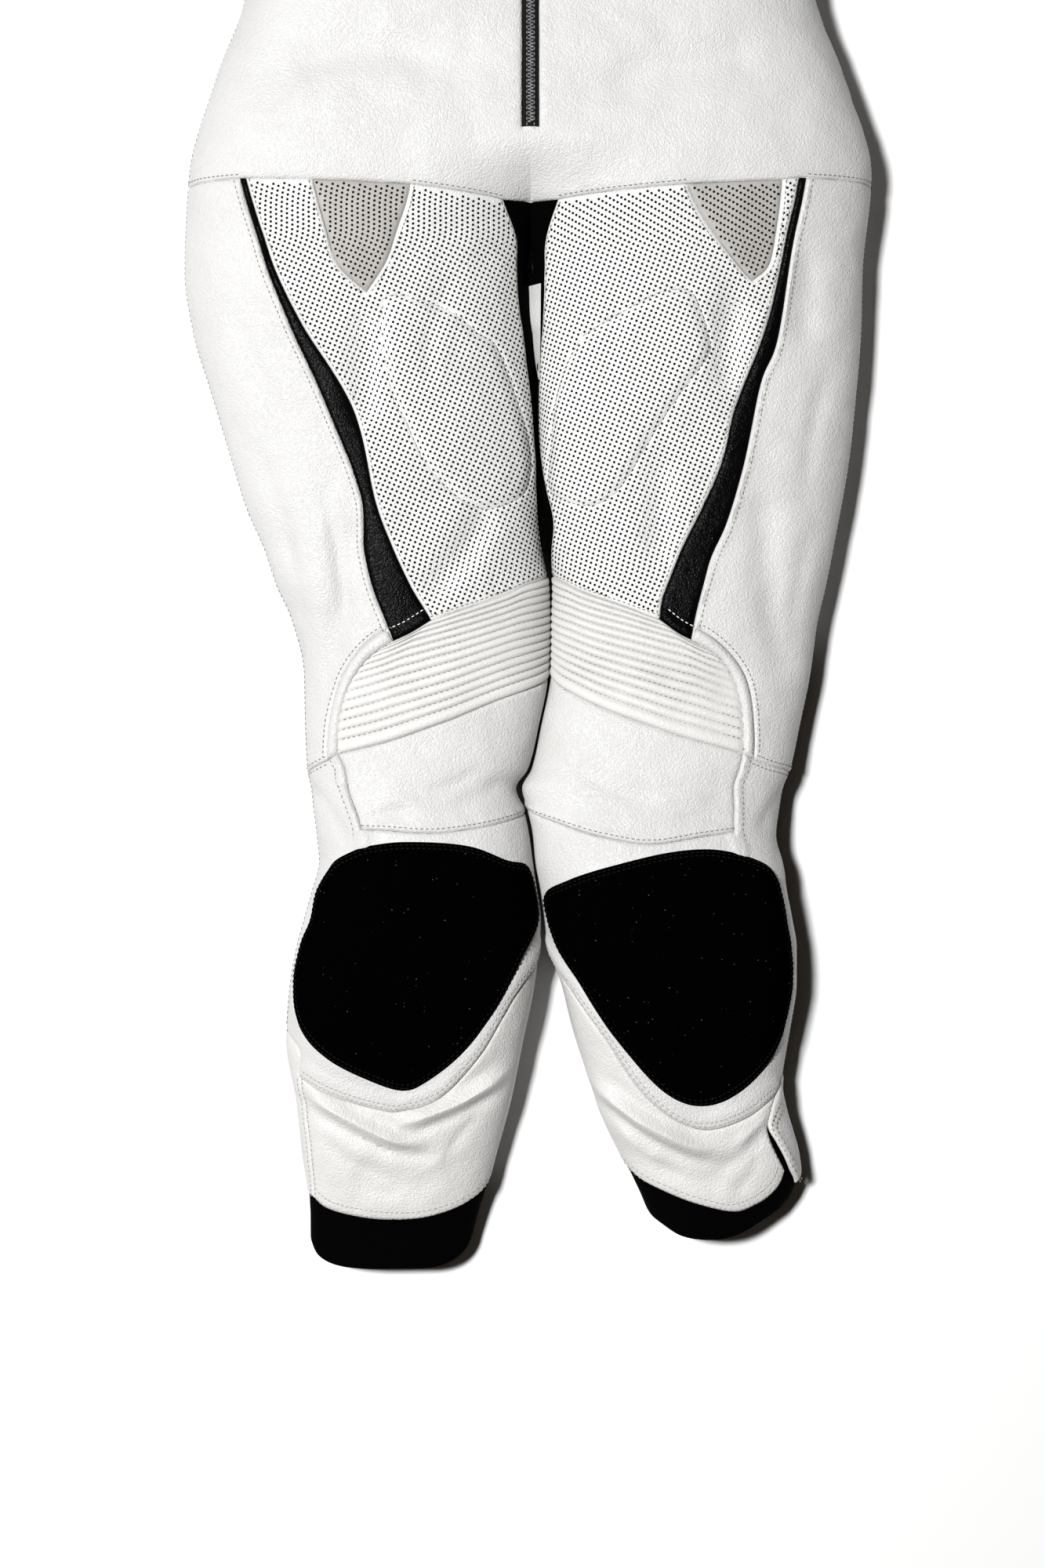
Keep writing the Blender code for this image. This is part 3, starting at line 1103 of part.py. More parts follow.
def build_zip(form):
    """The closed front zip: one strip of tape and teeth between the two fronts."""
    half = ZIP_HALF_WIDTH - SEAM_GAP
    downs = np.linspace(ZIP_BOTTOM_DOWN - SEAM_GAP, NECK_FRONT_DOWN + SEAM_GAP, ZIP_ROWS)
    rows = []
    for down in downs:
        top = zip_height(form, down) - ZIP_SINK
        y = SUIT_MIDDLE_DOWN - down
        rows.append([(-half, y, top), (half, y, top), (half, y, top - ZIP_TAPE),
                     (-half, y, top - ZIP_TAPE)])
    points = np.array(rows).reshape(-1, 3) * METRE
    faces = [(3, 2, 1, 0)]
    for row in range(len(rows) - 1):
        for k in range(4):
            a, b = row * 4 + k, row * 4 + (k + 1) % 4
            faces.append((a, b, b + 4, a + 4))
    last = (len(rows) - 1) * 4
    faces.append((last, last + 1, last + 2, last + 3))
    add_object("front_zip", points, turned_out(points, faces), "zip_tape")


def box_mesh(width, length, height):
    """A box about its own middle, in mm."""
    corners = [(x, y, z) for z in (-height / 2, height / 2)
               for y in (-length / 2, length / 2) for x in (-width / 2, width / 2)]
    faces = [(0, 2, 3, 1), (4, 5, 7, 6), (0, 1, 5, 4), (1, 3, 7, 5), (3, 2, 6, 7), (2, 0, 4, 6)]
    return np.array(corners, float), faces


def arch_mesh(width, inner, outer, foot):
    """A bridge over the axis: half a ring about X with two straight feet, in mm."""
    steps = 8
    section = [(math.cos(math.pi * k / steps), math.sin(math.pi * k / steps))
               for k in range(steps + 1)]
    section = [(1.0, -foot)] + section + [(-1.0, -foot)]
    points = []
    for x in (-width / 2, width / 2):
        for radius in (inner, outer):
            for y, z in section:
                points.append((x, y * radius, z * radius if z >= 0.0 else z))
    count = len(section)
    faces = []
    for k in range(count - 1):
        a, b, c, d = k, k + count, k + 2 * count, k + 3 * count
        faces.extend([(a, a + 1, b + 1, b), (c, d, d + 1, c + 1), (b, b + 1, d + 1, d),
                      (a + 1, a, c, c + 1)])
    faces.append((0, count, 3 * count, 2 * count))
    faces.append((count - 1, 3 * count - 1, 4 * count - 1, 2 * count - 1))
    return np.array(points), faces


def build_slider(form):
    """The slider with its bridge, and the pull tab whose end bar turns in the bridge."""
    tape_top = zip_height(form, ZIP_SLIDER_DOWN) - ZIP_SINK
    y = SUIT_MIDDLE_DOWN - ZIP_SLIDER_DOWN
    plate_top = tape_top + LAYER_GAP + SLIDER_HEIGHT
    points, faces = box_mesh(SLIDER_WIDTH, SLIDER_LENGTH, SLIDER_HEIGHT)
    points = (points + (0.0, y, plate_top - SLIDER_HEIGHT / 2.0)) * METRE
    slider = add_object("zip_slider", points, turned_out(points, faces), "dark_metal")
    axis = np.array([0.0, y, plate_top + AXIS_RISE])
    points, faces = arch_mesh(BRIDGE_WIDTH, BRIDGE_INNER, BRIDGE_OUTER, AXIS_RISE + BRIDGE_ROOT)
    points = (points + axis) * METRE
    bridge = add_object("zip_bridge_guide", points, turned_out(points, faces), "dark_metal")
    bridge.hide_render = True
    bridge.display_type = "WIRE"
    union = slider.modifiers.new("bridge", "BOOLEAN")
    union.operation = "UNION"
    union.object = bridge
    half_bar = TAB_THICKNESS / 2.0
    outer = ((-TAB_WIDTH / 2, half_bar), (TAB_WIDTH / 2, half_bar),
             (TAB_WIDTH / 2, half_bar - TAB_LENGTH), (-TAB_WIDTH / 2, half_bar - TAB_LENGTH))
    window = ((-TAB_WINDOW / 2, -half_bar), (TAB_WINDOW / 2, -half_bar),
              (TAB_WINDOW / 2, -half_bar - TAB_WINDOW), (-TAB_WINDOW / 2, -half_bar - TAB_WINDOW))
    points = [(x, across, z) for z in (-half_bar, half_bar) for across_set in (outer, window)
              for x, across in across_set]
    faces = []
    for k in range(4):
        n = (k + 1) % 4
        faces.extend([(k, n, 4 + n, 4 + k), (8 + n, 8 + k, 12 + k, 12 + n),
                      (n, k, 8 + k, 8 + n), (4 + k, 4 + n, 12 + n, 12 + k)])
    points = np.array(points)
    tilt = -TAB_REST_TILT
    turned = points.copy()
    turned[:, 1] = points[:, 1] * math.cos(tilt) + points[:, 2] * math.sin(tilt)
    turned[:, 2] = -points[:, 1] * math.sin(tilt) + points[:, 2] * math.cos(tilt)
    points = turned * METRE
    tab = add_object("zip_pull_tab", points, turned_out(points, faces), "dark_metal")
    tab.location = tuple(axis * METRE)


def build_half(name, form, table, patch):
    """Every piece of one side of the suit but its sleeve. Returns its seams."""
    seams = Seams(form, {**table, **BODY_SEAMS}, SEAM_STEP)
    for seam, count in (("stripe_end", 2), ("rib_top", 6), ("rib_bottom", 8),
                        ("rib_curve", RIB_COUNT * 2), ("band_outer", 9), ("zip_top", 3)):
        seams.divide(seam, count)
    details = detail_points(form, seams)
    build_thigh(name, form, seams, details)
    build_knee(name, form, seams, patch, details)
    build_shin(name, form, seams, details)
    build_leg_back(name, form, seams)
    build_body(name, form, seams, details)
    return seams


def main():
    """Builds the suit in an empty scene."""
    for old in list(bpy.data.objects):
        bpy.data.objects.remove(old, do_unlink=True)
    right = HalfForm(-1.0, RIGHT_LEG, RIGHT_FOLDS, RIGHT_PAD)
    left = HalfForm(1.0, LEFT_LEG, LEFT_FOLDS, LEFT_PAD)
    right_seams = build_half("right", right, RIGHT_SEAMS, RIGHT_PATCH)
    left_seams = build_half("left", left, LEFT_SEAMS, LEFT_PATCH)
    build_sleeve("right", -1.0)
    build_sleeve("left", 1.0)
    build_collar(right, right_seams, left, left_seams)
    build_zip(left)
    build_slider(left)


main()
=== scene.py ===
"""Dresses a one-piece leather race suit that lies face up: cloth, seams, stitches and zip.

Sizes are in millimetres until a mesh is made. Each half of the suit is one form, whose points
are given by a turn (0 at the inner edge, pi at the outer edge over the front, minus pi over
the back) and a distance down from the crotch. A cloth map turns that into millimetres of
cloth, in which the pieces are cut, stitched and punched.
"""

import logging
import math
from dataclasses import dataclass, field
from enum import Enum
from math import pi
from typing import Callable, Optional, Sequence

import bpy
import numpy as np
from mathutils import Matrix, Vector, noise
from mathutils.geometry import delaunay_2d_cdt
from mathutils.kdtree import KDTree


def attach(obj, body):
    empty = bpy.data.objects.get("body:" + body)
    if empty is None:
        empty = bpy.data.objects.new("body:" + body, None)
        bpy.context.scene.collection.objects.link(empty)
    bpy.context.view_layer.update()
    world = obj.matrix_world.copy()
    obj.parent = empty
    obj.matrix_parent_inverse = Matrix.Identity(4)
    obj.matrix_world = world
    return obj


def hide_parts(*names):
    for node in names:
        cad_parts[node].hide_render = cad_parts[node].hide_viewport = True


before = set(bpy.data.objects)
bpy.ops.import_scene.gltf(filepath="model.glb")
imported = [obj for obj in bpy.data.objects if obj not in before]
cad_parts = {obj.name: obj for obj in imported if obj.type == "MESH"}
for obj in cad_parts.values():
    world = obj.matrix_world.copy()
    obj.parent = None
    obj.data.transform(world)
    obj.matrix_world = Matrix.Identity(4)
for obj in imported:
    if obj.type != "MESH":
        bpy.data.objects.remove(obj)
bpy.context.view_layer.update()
LOG = logging.getLogger("race_suit")

Array = np.ndarray
Colour = tuple[float, float, float]
Pairs = Sequence[tuple[float, float]]
Piece = bpy.types.Object
Socket = bpy.types.NodeSocket
Place = float | str          # a distance down, or a seam's end, or with a minus its start
Run = str | np.ndarray       # a seam, with a minus walked backwards, or rows of points
Spots = list[Array]          # rows of a place, the way out and the way ahead, world mm

# ---- sizes that pieces share, mm
METRE = 0.001
CUFF_END_DOWN = 840.1        # crotch to the end of the right ankle cuff
COLLAR_TOP_DOWN = -694.0     # crotch to the top of the collar
SUIT_MIDDLE_DOWN = (CUFF_END_DOWN + COLLAR_TOP_DOWN) / 2.0
SQUARENESS = 0.12            # 0 is an elliptical ring, 0.25 nearly a rounded box
TURN_SCALE = 75.0            # mm of cloth that one radian of turn roughly stands for
EQUATOR_SHARE = 0.42         # height of the side edge as a share of the ring's height
WAIST_DOWN = -232.0
ARMPIT_ACROSS, ARMPIT_DOWN = 262.0, -452.0
SHOULDER_ACROSS, SHOULDER_DOWN = 224.0, -622.0
NECK_FRONT_DOWN = -606.0
NECK_SIDE_ACROSS, NECK_SIDE_DOWN = 82.0, -655.0
ZIP_HALF_WIDTH = 7.0
ZIP_BOTTOM_DOWN = -100.0
BACK_EDGE = -1e-4            # the back's own side of the inner edge
INNER_WRAP = -0.35           # the front pieces of the lower leg reach this far under it
IN, OUT = -999.0, 999.0      # a seam's ends on the inner and the outer edge
CUFF_SINK = 1.4
FRONT_FINE, BODY_FINE, BACK_FINE = 3.3, 6.5, 11.0  # between a piece's points
FINE_WRINKLE = 0.45
SMOOTH_SHOULDER = (-642.0, -560.0)  # above the first there are no fine wrinkles
STITCH_PITCH, STITCH_LIFT = 4.4, 0.2
STITCH_SIZE = (3.0, 1.0, 0.6)

# down from the crotch, height of the ring
HEIGHTS = (
    (-700, 84), (-622, 96), (-452, 100), (-330, 96), (-232, 90), (-95, 92), (0, 84),
    (110, 78), (240, 73), (343, 72), (430, 74), (520, 82), (600, 82), (690, 68),
    (770, 54), (815, 44), (860, 38),
)
# down from the crotch, outer edge: shared by both halves above the crotch
BODY_EDGE = (
    (-452, 262), (-390, 258), (-300, 240), (-232, 236), (-150, 262), (-70, 284),
)
# down from the crotch, inner edge: the body has none of its own
BODY_MIDDLE = ((-720, 0), (-20, 0))
# along the arm from the armhole, width, height
SLEEVE = (
    (0, 174, 100), (60, 172, 98), (150, 164, 90), (300, 142, 80), (430, 120, 66),
    (548, 96, 50), (600, 90, 44), (620, 88, 42),
)
# rise, half width, distance along the arm, turn where the fold starts and ends
SLEEVE_FOLDS = (
    (-4.0, 12.0, 225.0, 0.5, 1.9), (3.5, 11.0, 262.0, 0.4, 2.2), (-4.5, 12.0, 300.0, 0.5, 2.0),
    (3.0, 11.0, 340.0, 0.8, 2.4), (-3.5, 14.0, 470.0, 1.0, 2.6),
)
# each seam is a smooth curve through (across, down) points on the front
BODY_SEAMS = {
    "zip_foot": ((0, ZIP_BOTTOM_DOWN), (ZIP_HALF_WIDTH, ZIP_BOTTOM_DOWN)),
    "zip_low": ((ZIP_HALF_WIDTH, ZIP_BOTTOM_DOWN), (ZIP_HALF_WIDTH, WAIST_DOWN)),
    "zip_high": ((ZIP_HALF_WIDTH, WAIST_DOWN), (ZIP_HALF_WIDTH, NECK_FRONT_DOWN)),
    "waist": ((ZIP_HALF_WIDTH, WAIST_DOWN), (OUT, WAIST_DOWN)),
    "neck_front": ((ZIP_HALF_WIDTH, NECK_FRONT_DOWN), (36, -612), (64, -630),
                   (NECK_SIDE_ACROSS, NECK_SIDE_DOWN)),
    "neck_back": ((0, -668), (45, -665), (NECK_SIDE_ACROSS, NECK_SIDE_DOWN)),
    "shoulder": ((NECK_SIDE_ACROSS, NECK_SIDE_DOWN), (SHOULDER_ACROSS, SHOULDER_DOWN)),
}
STRAIGHT_SEAMS = frozenset({"shoulder"})
# the seam, how far beside it the row of stitches lies, how far above the form
ROWS_BESIDE_SEAMS = (
    ("stripe_outer", 5.2, 0.0), ("stripe_inner", -3.0, 0.0), ("thigh_inner", 3.2, 0.0),
    ("insert_outer", 3.0, 0.0), ("insert_inner", -3.0, 0.0), ("rib_top", -2.8, 0.0),
    ("band_outer", 4.2, 0.0), ("cross_outer", 3.4, 0.8), ("cross_outer", -3.6, 0.0),
    ("rib_bottom", -3.6, 0.0), ("knee_seam", -3.4, 0.9), ("surround", -2.8, 1.4),
    ("surround", -5.9, 1.5), ("hem", -1.8, -0.1), ("hem", -6.8, 0.0), ("zip_side", -2.4, 0.0),
    ("zip_side", 3.0, 0.0), ("yoke_thigh", 3.2, 0.0), ("yoke_outer", 3.2, 0.0),
    ("waist", 3.2, 0.0), ("waist", -3.2, 0.0), ("zip_low", 4.0, 0.0), ("zip_high", 4.0, 0.0),
    ("neck_front", -4.0, 0.0), ("shoulder", -4.0, 0.0),
)
SOFT_ROWS = frozenset({"surround", "hem", "zip_side"})


# ---- options
class Side(Enum):
    """Which half of the suit a piece belongs to, as the wearer has it."""

    RIGHT = -1.0
    LEFT = 1.0

    @property
    def label(self) -> str:
        """The word that starts the names of this side's pieces."""
        return self.name.lower()


class FoldShape(Enum):
    """The profile across a fold."""

    SOFT = "soft"
    CREASE = "crease"


class RepeatShape(Enum):
    """What a repeat places: its node, the node's inputs and settings, whether it looks smooth."""

    STITCH = ("UVSphere", {"Segments": 8, "Rings": 5, "Radius": 0.5}, {}, True)
    HOLE = ("Circle", {"Vertices": 8, "Radius": 0.5}, {"fill_type": "NGON"}, False)
    TOOTH = ("Cylinder", {"Vertices": 8, "Radius": 0.5, "Depth": 1.0}, {}, False)


class Fastening(Enum):
    """How a piece's edge is finished: how far its rim turns down, and from how far in, mm."""

    SEAM = (1.8, 2.4)
    BAND = (2.2, 3.6)


# ---- curves and tables
def smooth_table(rows: Sequence[tuple], at: Array, column: int) -> Array:
    """Reads one column of a table with a curve that never overshoots.

    Args:
        rows: The table, whose first column rises.
        at: The stations to read at.
        column: The column to read.

    Returns:
        The column's value at each station.
    """
    table = np.array(rows, float)
    stations, values = table[:, 0], table[:, column]
    widths = np.diff(stations)
    slopes = np.diff(values) / widths
    tangents = np.r_[slopes[0], np.zeros(len(slopes) - 1), slopes[-1]]
    low, high = 2.0 * widths[1:] + widths[:-1], widths[1:] + 2.0 * widths[:-1]
    with np.errstate(divide="ignore", invalid="ignore"):
        blended = (low + high) / (low / slopes[:-1] + high / slopes[1:])
    tangents[1:-1] = np.where(slopes[:-1] * slopes[1:] > 0.0, blended, 0.0)
    at = np.clip(np.asarray(at, float), stations[0], stations[-1])
    index = np.clip(np.searchsorted(stations, at, side="right") - 1, 0, len(widths) - 1)
    share = (at - stations[index]) / widths[index]
    rest = 1.0 - share
    pull = share * rest * widths[index] * (rest * tangents[index] - share * tangents[index + 1])
    return mix(values[index], values[index + 1], share * share * (3.0 - 2.0 * share)) + pull


def mix(first: Array, second: Array, share: Array) -> Array:
    """Goes from the first at share 0 to the second at share 1."""
    return first * (1.0 - share) + second * share


def smooth_step(values: Array, start: float, end: float) -> Array:
    """Eases from 0 at start to 1 at end."""
    share = np.clip((np.asarray(values, float) - start) / (end - start), 0.0, 1.0)
    return share * share * (3.0 - 2.0 * share)


def fall_off(values: Array, start: float, end: float) -> Array:
    """Eases from 1 at start to 0 at end."""
    return 1.0 - smooth_step(values, start, end)


def unit(ways: Array) -> Array:
    """Gives every direction a length of 1."""
    return ways / np.maximum(np.linalg.norm(ways, axis=1), 1e-9)[:, None]


def closed(loop: Array) -> Array:
    """Repeats a loop's first point at its end."""
    return np.vstack([loop, loop[:1]])


def run_lengths(path: Array) -> Array:
    """Measures a path from its start to each of its points."""
    return np.r_[0.0, np.cumsum(np.linalg.norm(np.diff(path, axis=0), axis=1))]


def read_path(path: Array, marks: Array) -> Array:
    """Reads a path at distances along it."""
    lengths = run_lengths(path)
    return np.column_stack([np.interp(marks, lengths, column) for column in path.T])


def at_shares(path: Array, shares: Array) -> Array:
    """Reads a path at shares of its length, from 0 to 1."""
    return read_path(path, shares * run_lengths(path)[-1])


def evenly(path: Array, spacing: float) -> Array:
    """Resamples a path at even steps of about a spacing, both ends included."""
    count = max(1, int(round(run_lengths(path)[-1] / spacing)))
    return at_shares(path, np.linspace(0.0, 1.0, count + 1))


def beside(path: Array, distance: float) -> Array:
    """Moves a flat path to the left of its direction, or to the right by a negative distance."""
    ways = unit(np.gradient(path, axis=0))
    return path + np.column_stack([ways[:, 1], -ways[:, 0]]) * distance


def inwards(loop: Array, distance: float) -> float:
    """Gives a distance the sign that moves a loop inwards, whichever way it runs."""
    ahead = np.roll(loop, -1, axis=0)
    return -math.copysign(distance, np.sum(loop[:, 0] * ahead[:, 1] - ahead[:, 0] * loop[:, 1]))


def through_points(points: Array, samples: int = 12) -> Array:
    """Runs a smooth curve through points.

    Args:
        points: The points, in order.
        samples: How many samples each stretch between two points gets.

    Returns:
        The curve's samples, both ends included.
    """
    points = np.asarray(points, float)
    padded = np.vstack([2.0 * points[0] - points[1], points, 2.0 * points[-1] - points[-2]])
    steps = np.linspace(0.0, 1.0, samples, endpoint=False)[:, None]
    fine = [0.5 * (2.0 * b + (c - a) * steps + (2.0 * a - 5.0 * b + 4.0 * c - d) * steps ** 2
                   + (3.0 * b - a - 3.0 * c + d) * steps ** 3)
            for a, b, c, d in zip(padded, padded[1:], padded[2:], padded[3:])]
    return np.vstack(fine + [points[-1:]])


def path_gap(points: Array, path: Array) -> tuple[Array, Array]:
    """Measures how far points lie from an open path.

    Args:
        points: The points.
        path: The path's points.

    Returns:
        The distance of each point, and how far along the path its nearest place is, 0 to 1.
    """
    path = np.asarray(path, float)
    starts = run_lengths(path)
    nearest, along = np.full(len(points), np.inf), np.zeros(len(points))
    for k, length in enumerate(np.maximum(np.diff(starts), 1e-9)):
        way = (path[k + 1] - path[k]) / length
        offset = points - path[k]
        run = np.clip(offset @ way, 0.0, length)
        gap = np.hypot(offset[:, 0] - run * way[0], offset[:, 1] - run * way[1])
        along = np.where(gap < nearest, (starts[k] + run) / starts[-1], along)
        nearest = np.minimum(gap, nearest)
    return nearest, along


def inside_outline(points: Array, outline: Array) -> Array:
    """Tests which points lie inside a closed outline."""
    inside = np.zeros(len(points), bool)
    for (ax, ay), (bx, by) in zip(outline, np.roll(outline, -1, axis=0)):
        if ay != by:
            crosses = (points[:, 1] > ay) != (points[:, 1] > by)
            inside ^= crosses & (points[:, 0] < ax + (points[:, 1] - ay) / (by - ay) * (bx - ax))
    return inside


def cloth_noise(points: Array, scale: float, seed: float) -> Array:
    """Gives smooth noise of about -1 to 1 at points in mm, with bumps of a scale in mm."""
    return np.array([noise.noise(Vector(p)) for p in points / scale + seed]) * 2.0


def ring_across(turn: Array) -> Array:
    """Gives 1 at the inner edge, 0 over the crown and minus 1 at the outer edge."""
    return np.cos(turn) * (1.0 + SQUARENESS * np.sin(turn) ** 2)


def ring_rise(turn: Array) -> Array:
    """Gives 0 at either edge of a ring and 1 over its crown."""
    return np.sin(turn) * (1.0 + SQUARENESS * np.cos(turn) ** 2)


# ---- what is drawn on a leg
@dataclass(frozen=True)
class Fold:
    """One fold or crease: a trough if its rise is negative."""

    rise: float  # its height at the middle, in mm
    half_width: float  # its half width, in mm
    points: Pairs  # the line that it follows, across and down, in mm
    shape: FoldShape = FoldShape.SOFT  # the profile across it
    crest: float = 0.9  # the radius on a sharp fold's crest, in mm

    def height(self, spots: Array) -> Array:
        """Reads the fold's height in mm.

        Args:
            spots: Across and down positions.

        Returns:
            Its height at each spot.
        """
        gap, along = path_gap(spots, through_points(self.points, 4))
        if self.shape is FoldShape.SOFT:
            ends = smooth_step(along, 0.0, 0.25) * fall_off(along, 0.75, 1.0)
            return self.rise * np.exp(-(gap / self.half_width) ** 2) * (0.25 + 0.75 * ends)
        ends = smooth_step(along, 0.0, 0.3) * fall_off(along, 0.7, 1.0)
        blunt = (np.sqrt(gap * gap + self.crest ** 2) - self.crest) / self.half_width
        return self.rise * (np.exp(-blunt) - 0.4 * np.exp(-(blunt - 1.9) ** 2)) * ends


@dataclass(frozen=True)
class LegPattern:
    """Everything that is drawn on one leg and its half of the body."""

    side: Side  # which leg it is
    edges: Sequence[tuple]  # distance down, inner edge, outer edge
    # the seams on its front, each a smooth curve through (across, down) points
    seams: dict[str, Pairs]
    patch: Pairs  # the outline of the knee patch
    pad: Pairs  # the outline of the padded field on the thigh
    folds: Sequence[Fold]  # the large folds, then the finer folds and creases
    knee_band: Pairs  # the inner edge of the piped band beside the knee, down to the patch
    welt: Pairs = ()  # the ankle flap's inner edge where it stands open, down from the zip's top


def yoke(*across: float) -> dict[str, Pairs]:
    """Gives the seams along the hip yoke, from how far across each of its corners lies."""
    corners = list(zip((0, 22, *across, OUT), (-44, -44, -54, -58, -60, -60, -60)))
    names = ("crotch", "thigh", "insert", "pocket", "stripe", "outer")
    return {f"yoke_{name}": pair for name, pair in zip(names, zip(corners, corners[1:]))}


SHARP = FoldShape.CREASE
RIGHT_FOLDS = tuple(Fold(*row) for row in (
    (-5.0, 15.0, ((134, 40), (136, 95), (134, 150))),
    (-4.5, 13.0, ((30, 205), (60, 252), (86, 283))),
    (-4.0, 14.0, ((146, 208), (149, 257), (158, 310), (172, 368), (184, 402))),
    (3.6, 9.0, ((186, 686), (149, 714), (110, 731), (82, 733))),
    (3.4, 9.0, ((116, 720), (71, 706), (43, 692), (14, 668))),
    (-3.0, 12.0, ((150, 752), (110, 764), (70, 752))),
    (-5.0, 18.0, ((60, -150), (130, -165), (210, -150))),
    (4.0, 16.0, ((50, -262), (130, -272), (205, -262))),
    (-4.0, 20.0, ((150, -330), (190, -380), (230, -440))),
    (3.6, 4.9, ((193, 681), (177, 696), (149, 712), (123, 725), (106, 731), (81, 731)), SHARP),
    (-3.25, 7.0, ((186, 698), (160, 716), (126, 734), (96, 742), (72, 742))),
    (3.3, 4.6, ((116, 719), (85, 708), (57, 697), (35, 683), (11, 665)), SHARP),
    (-2.75, 6.0, ((100, 724), (70, 711), (46, 700), (26, 690))),
    (-1.75, 6.0, ((170, 730), (150, 748), (128, 757))),
    (0.9, 6.0, ((60, 728), (88, 757), (120, 764)), SHARP),
    (-1.62, 5.0, ((40, 705), (58, 726), (70, 744))),
    (-1.5, 6.0, ((152, 756), (132, 772), (104, 778))),
    (-1.25, 4.0, ((134, 465), (120, 461), (100, 459))),
    (1.12, 3.5, ((130, 452), (108, 449), (84, 452)), SHARP),
    (-1.25, 5.0, ((40, 420), (62, 436), (92, 444))),
    (-1.5, 6.0, ((20, 430), (44, 448), (70, 456))),
    (-2.0, 6.0, ((196, 430), (176, 446), (158, 470), (150, 496))),
    (1.62, 5.0, ((198, 470), (184, 492), (178, 520)), SHARP),
    (-1.5, 6.0, ((205, 610), (200, 640), (190, 668))),
    (-1.88, 8.0, ((250, 40), (226, 92), (204, 140))),
    (-1.75, 8.0, ((226, 160), (206, 214), (196, 262))),
    (-1.5, 7.0, ((208, 262), (194, 310), (190, 352))),
    (-2.4, 6.0, ((168, 196), (160, 244), (152, 300))),
    (-2.0, 7.0, ((206, 214), (196, 262), (186, 318))),
    (-1.25, 8.0, ((60, 10), (80, 60), (84, 110))),
))
LEFT_FOLDS = tuple(Fold(*row) for row in (
    (-5.0, 14.0, ((168, 32), (160, 78), (166, 118))),
    (-4.0, 14.0, ((108, 160), (105, 215), (107, 262))),
    (-4.0, 14.0, ((191, 169), (194, 240), (202, 305), (216, 370))),
    (-4.0, 14.0, ((232, -10), (226, 40), (224, 80))),
    (3.6, 9.0, ((46, 676), (73, 701), (103, 722), (140, 738), (165, 737))),
    (-3.0, 12.0, ((100, 742), (130, 760), (170, 764))),
    (-5.0, 18.0, ((50, -130), (120, -150), (200, -160))),
    (4.0, 16.0, ((40, -270), (120, -262), (200, -272))),
    (-4.0, 20.0, ((140, -320), (185, -375), (228, -436))),
    (3.8, 4.8, ((44, 672), (58, 687), (88, 711), (118, 727), (140, 736), (160, 736)), SHARP),
    (-3.25, 7.0, ((52, 690), (80, 716), (112, 738), (142, 748), (164, 747))),
    (2.0, 5.0, ((200, 704), (184, 722), (166, 736)), SHARP),
    (-2.0, 6.0, ((196, 716), (176, 742), (150, 760))),
    (-1.75, 5.0, ((84, 734), (104, 752), (130, 764))),
    (1.5, 4.5, ((70, 716), (92, 740), (110, 748)), SHARP),
    (-1.5, 5.0, ((190, 738), (182, 760), (168, 776))),
    (-1.25, 4.0, ((160, 466), (140, 462), (118, 464))),
    (-1.38, 5.0, ((40, 424), (64, 440), (96, 448))),
    (1.12, 4.0, ((150, 450), (124, 446), (98, 452)), SHARP),
    (-2.0, 6.0, ((222, 430), (204, 450), (188, 476))),
    (1.62, 5.0, ((226, 470), (214, 500), (210, 524)), SHARP),
    (-1.75, 8.0, ((246, 90), (232, 150), (226, 200))),
    (-1.75, 8.0, ((236, 220), (222, 270), (218, 330))),
    (-1.5, 8.0, ((60, -6), (72, 40), (66, 96))),
    (-1.5, 7.0, ((210, 600), (212, 636), (206, 664))),
))
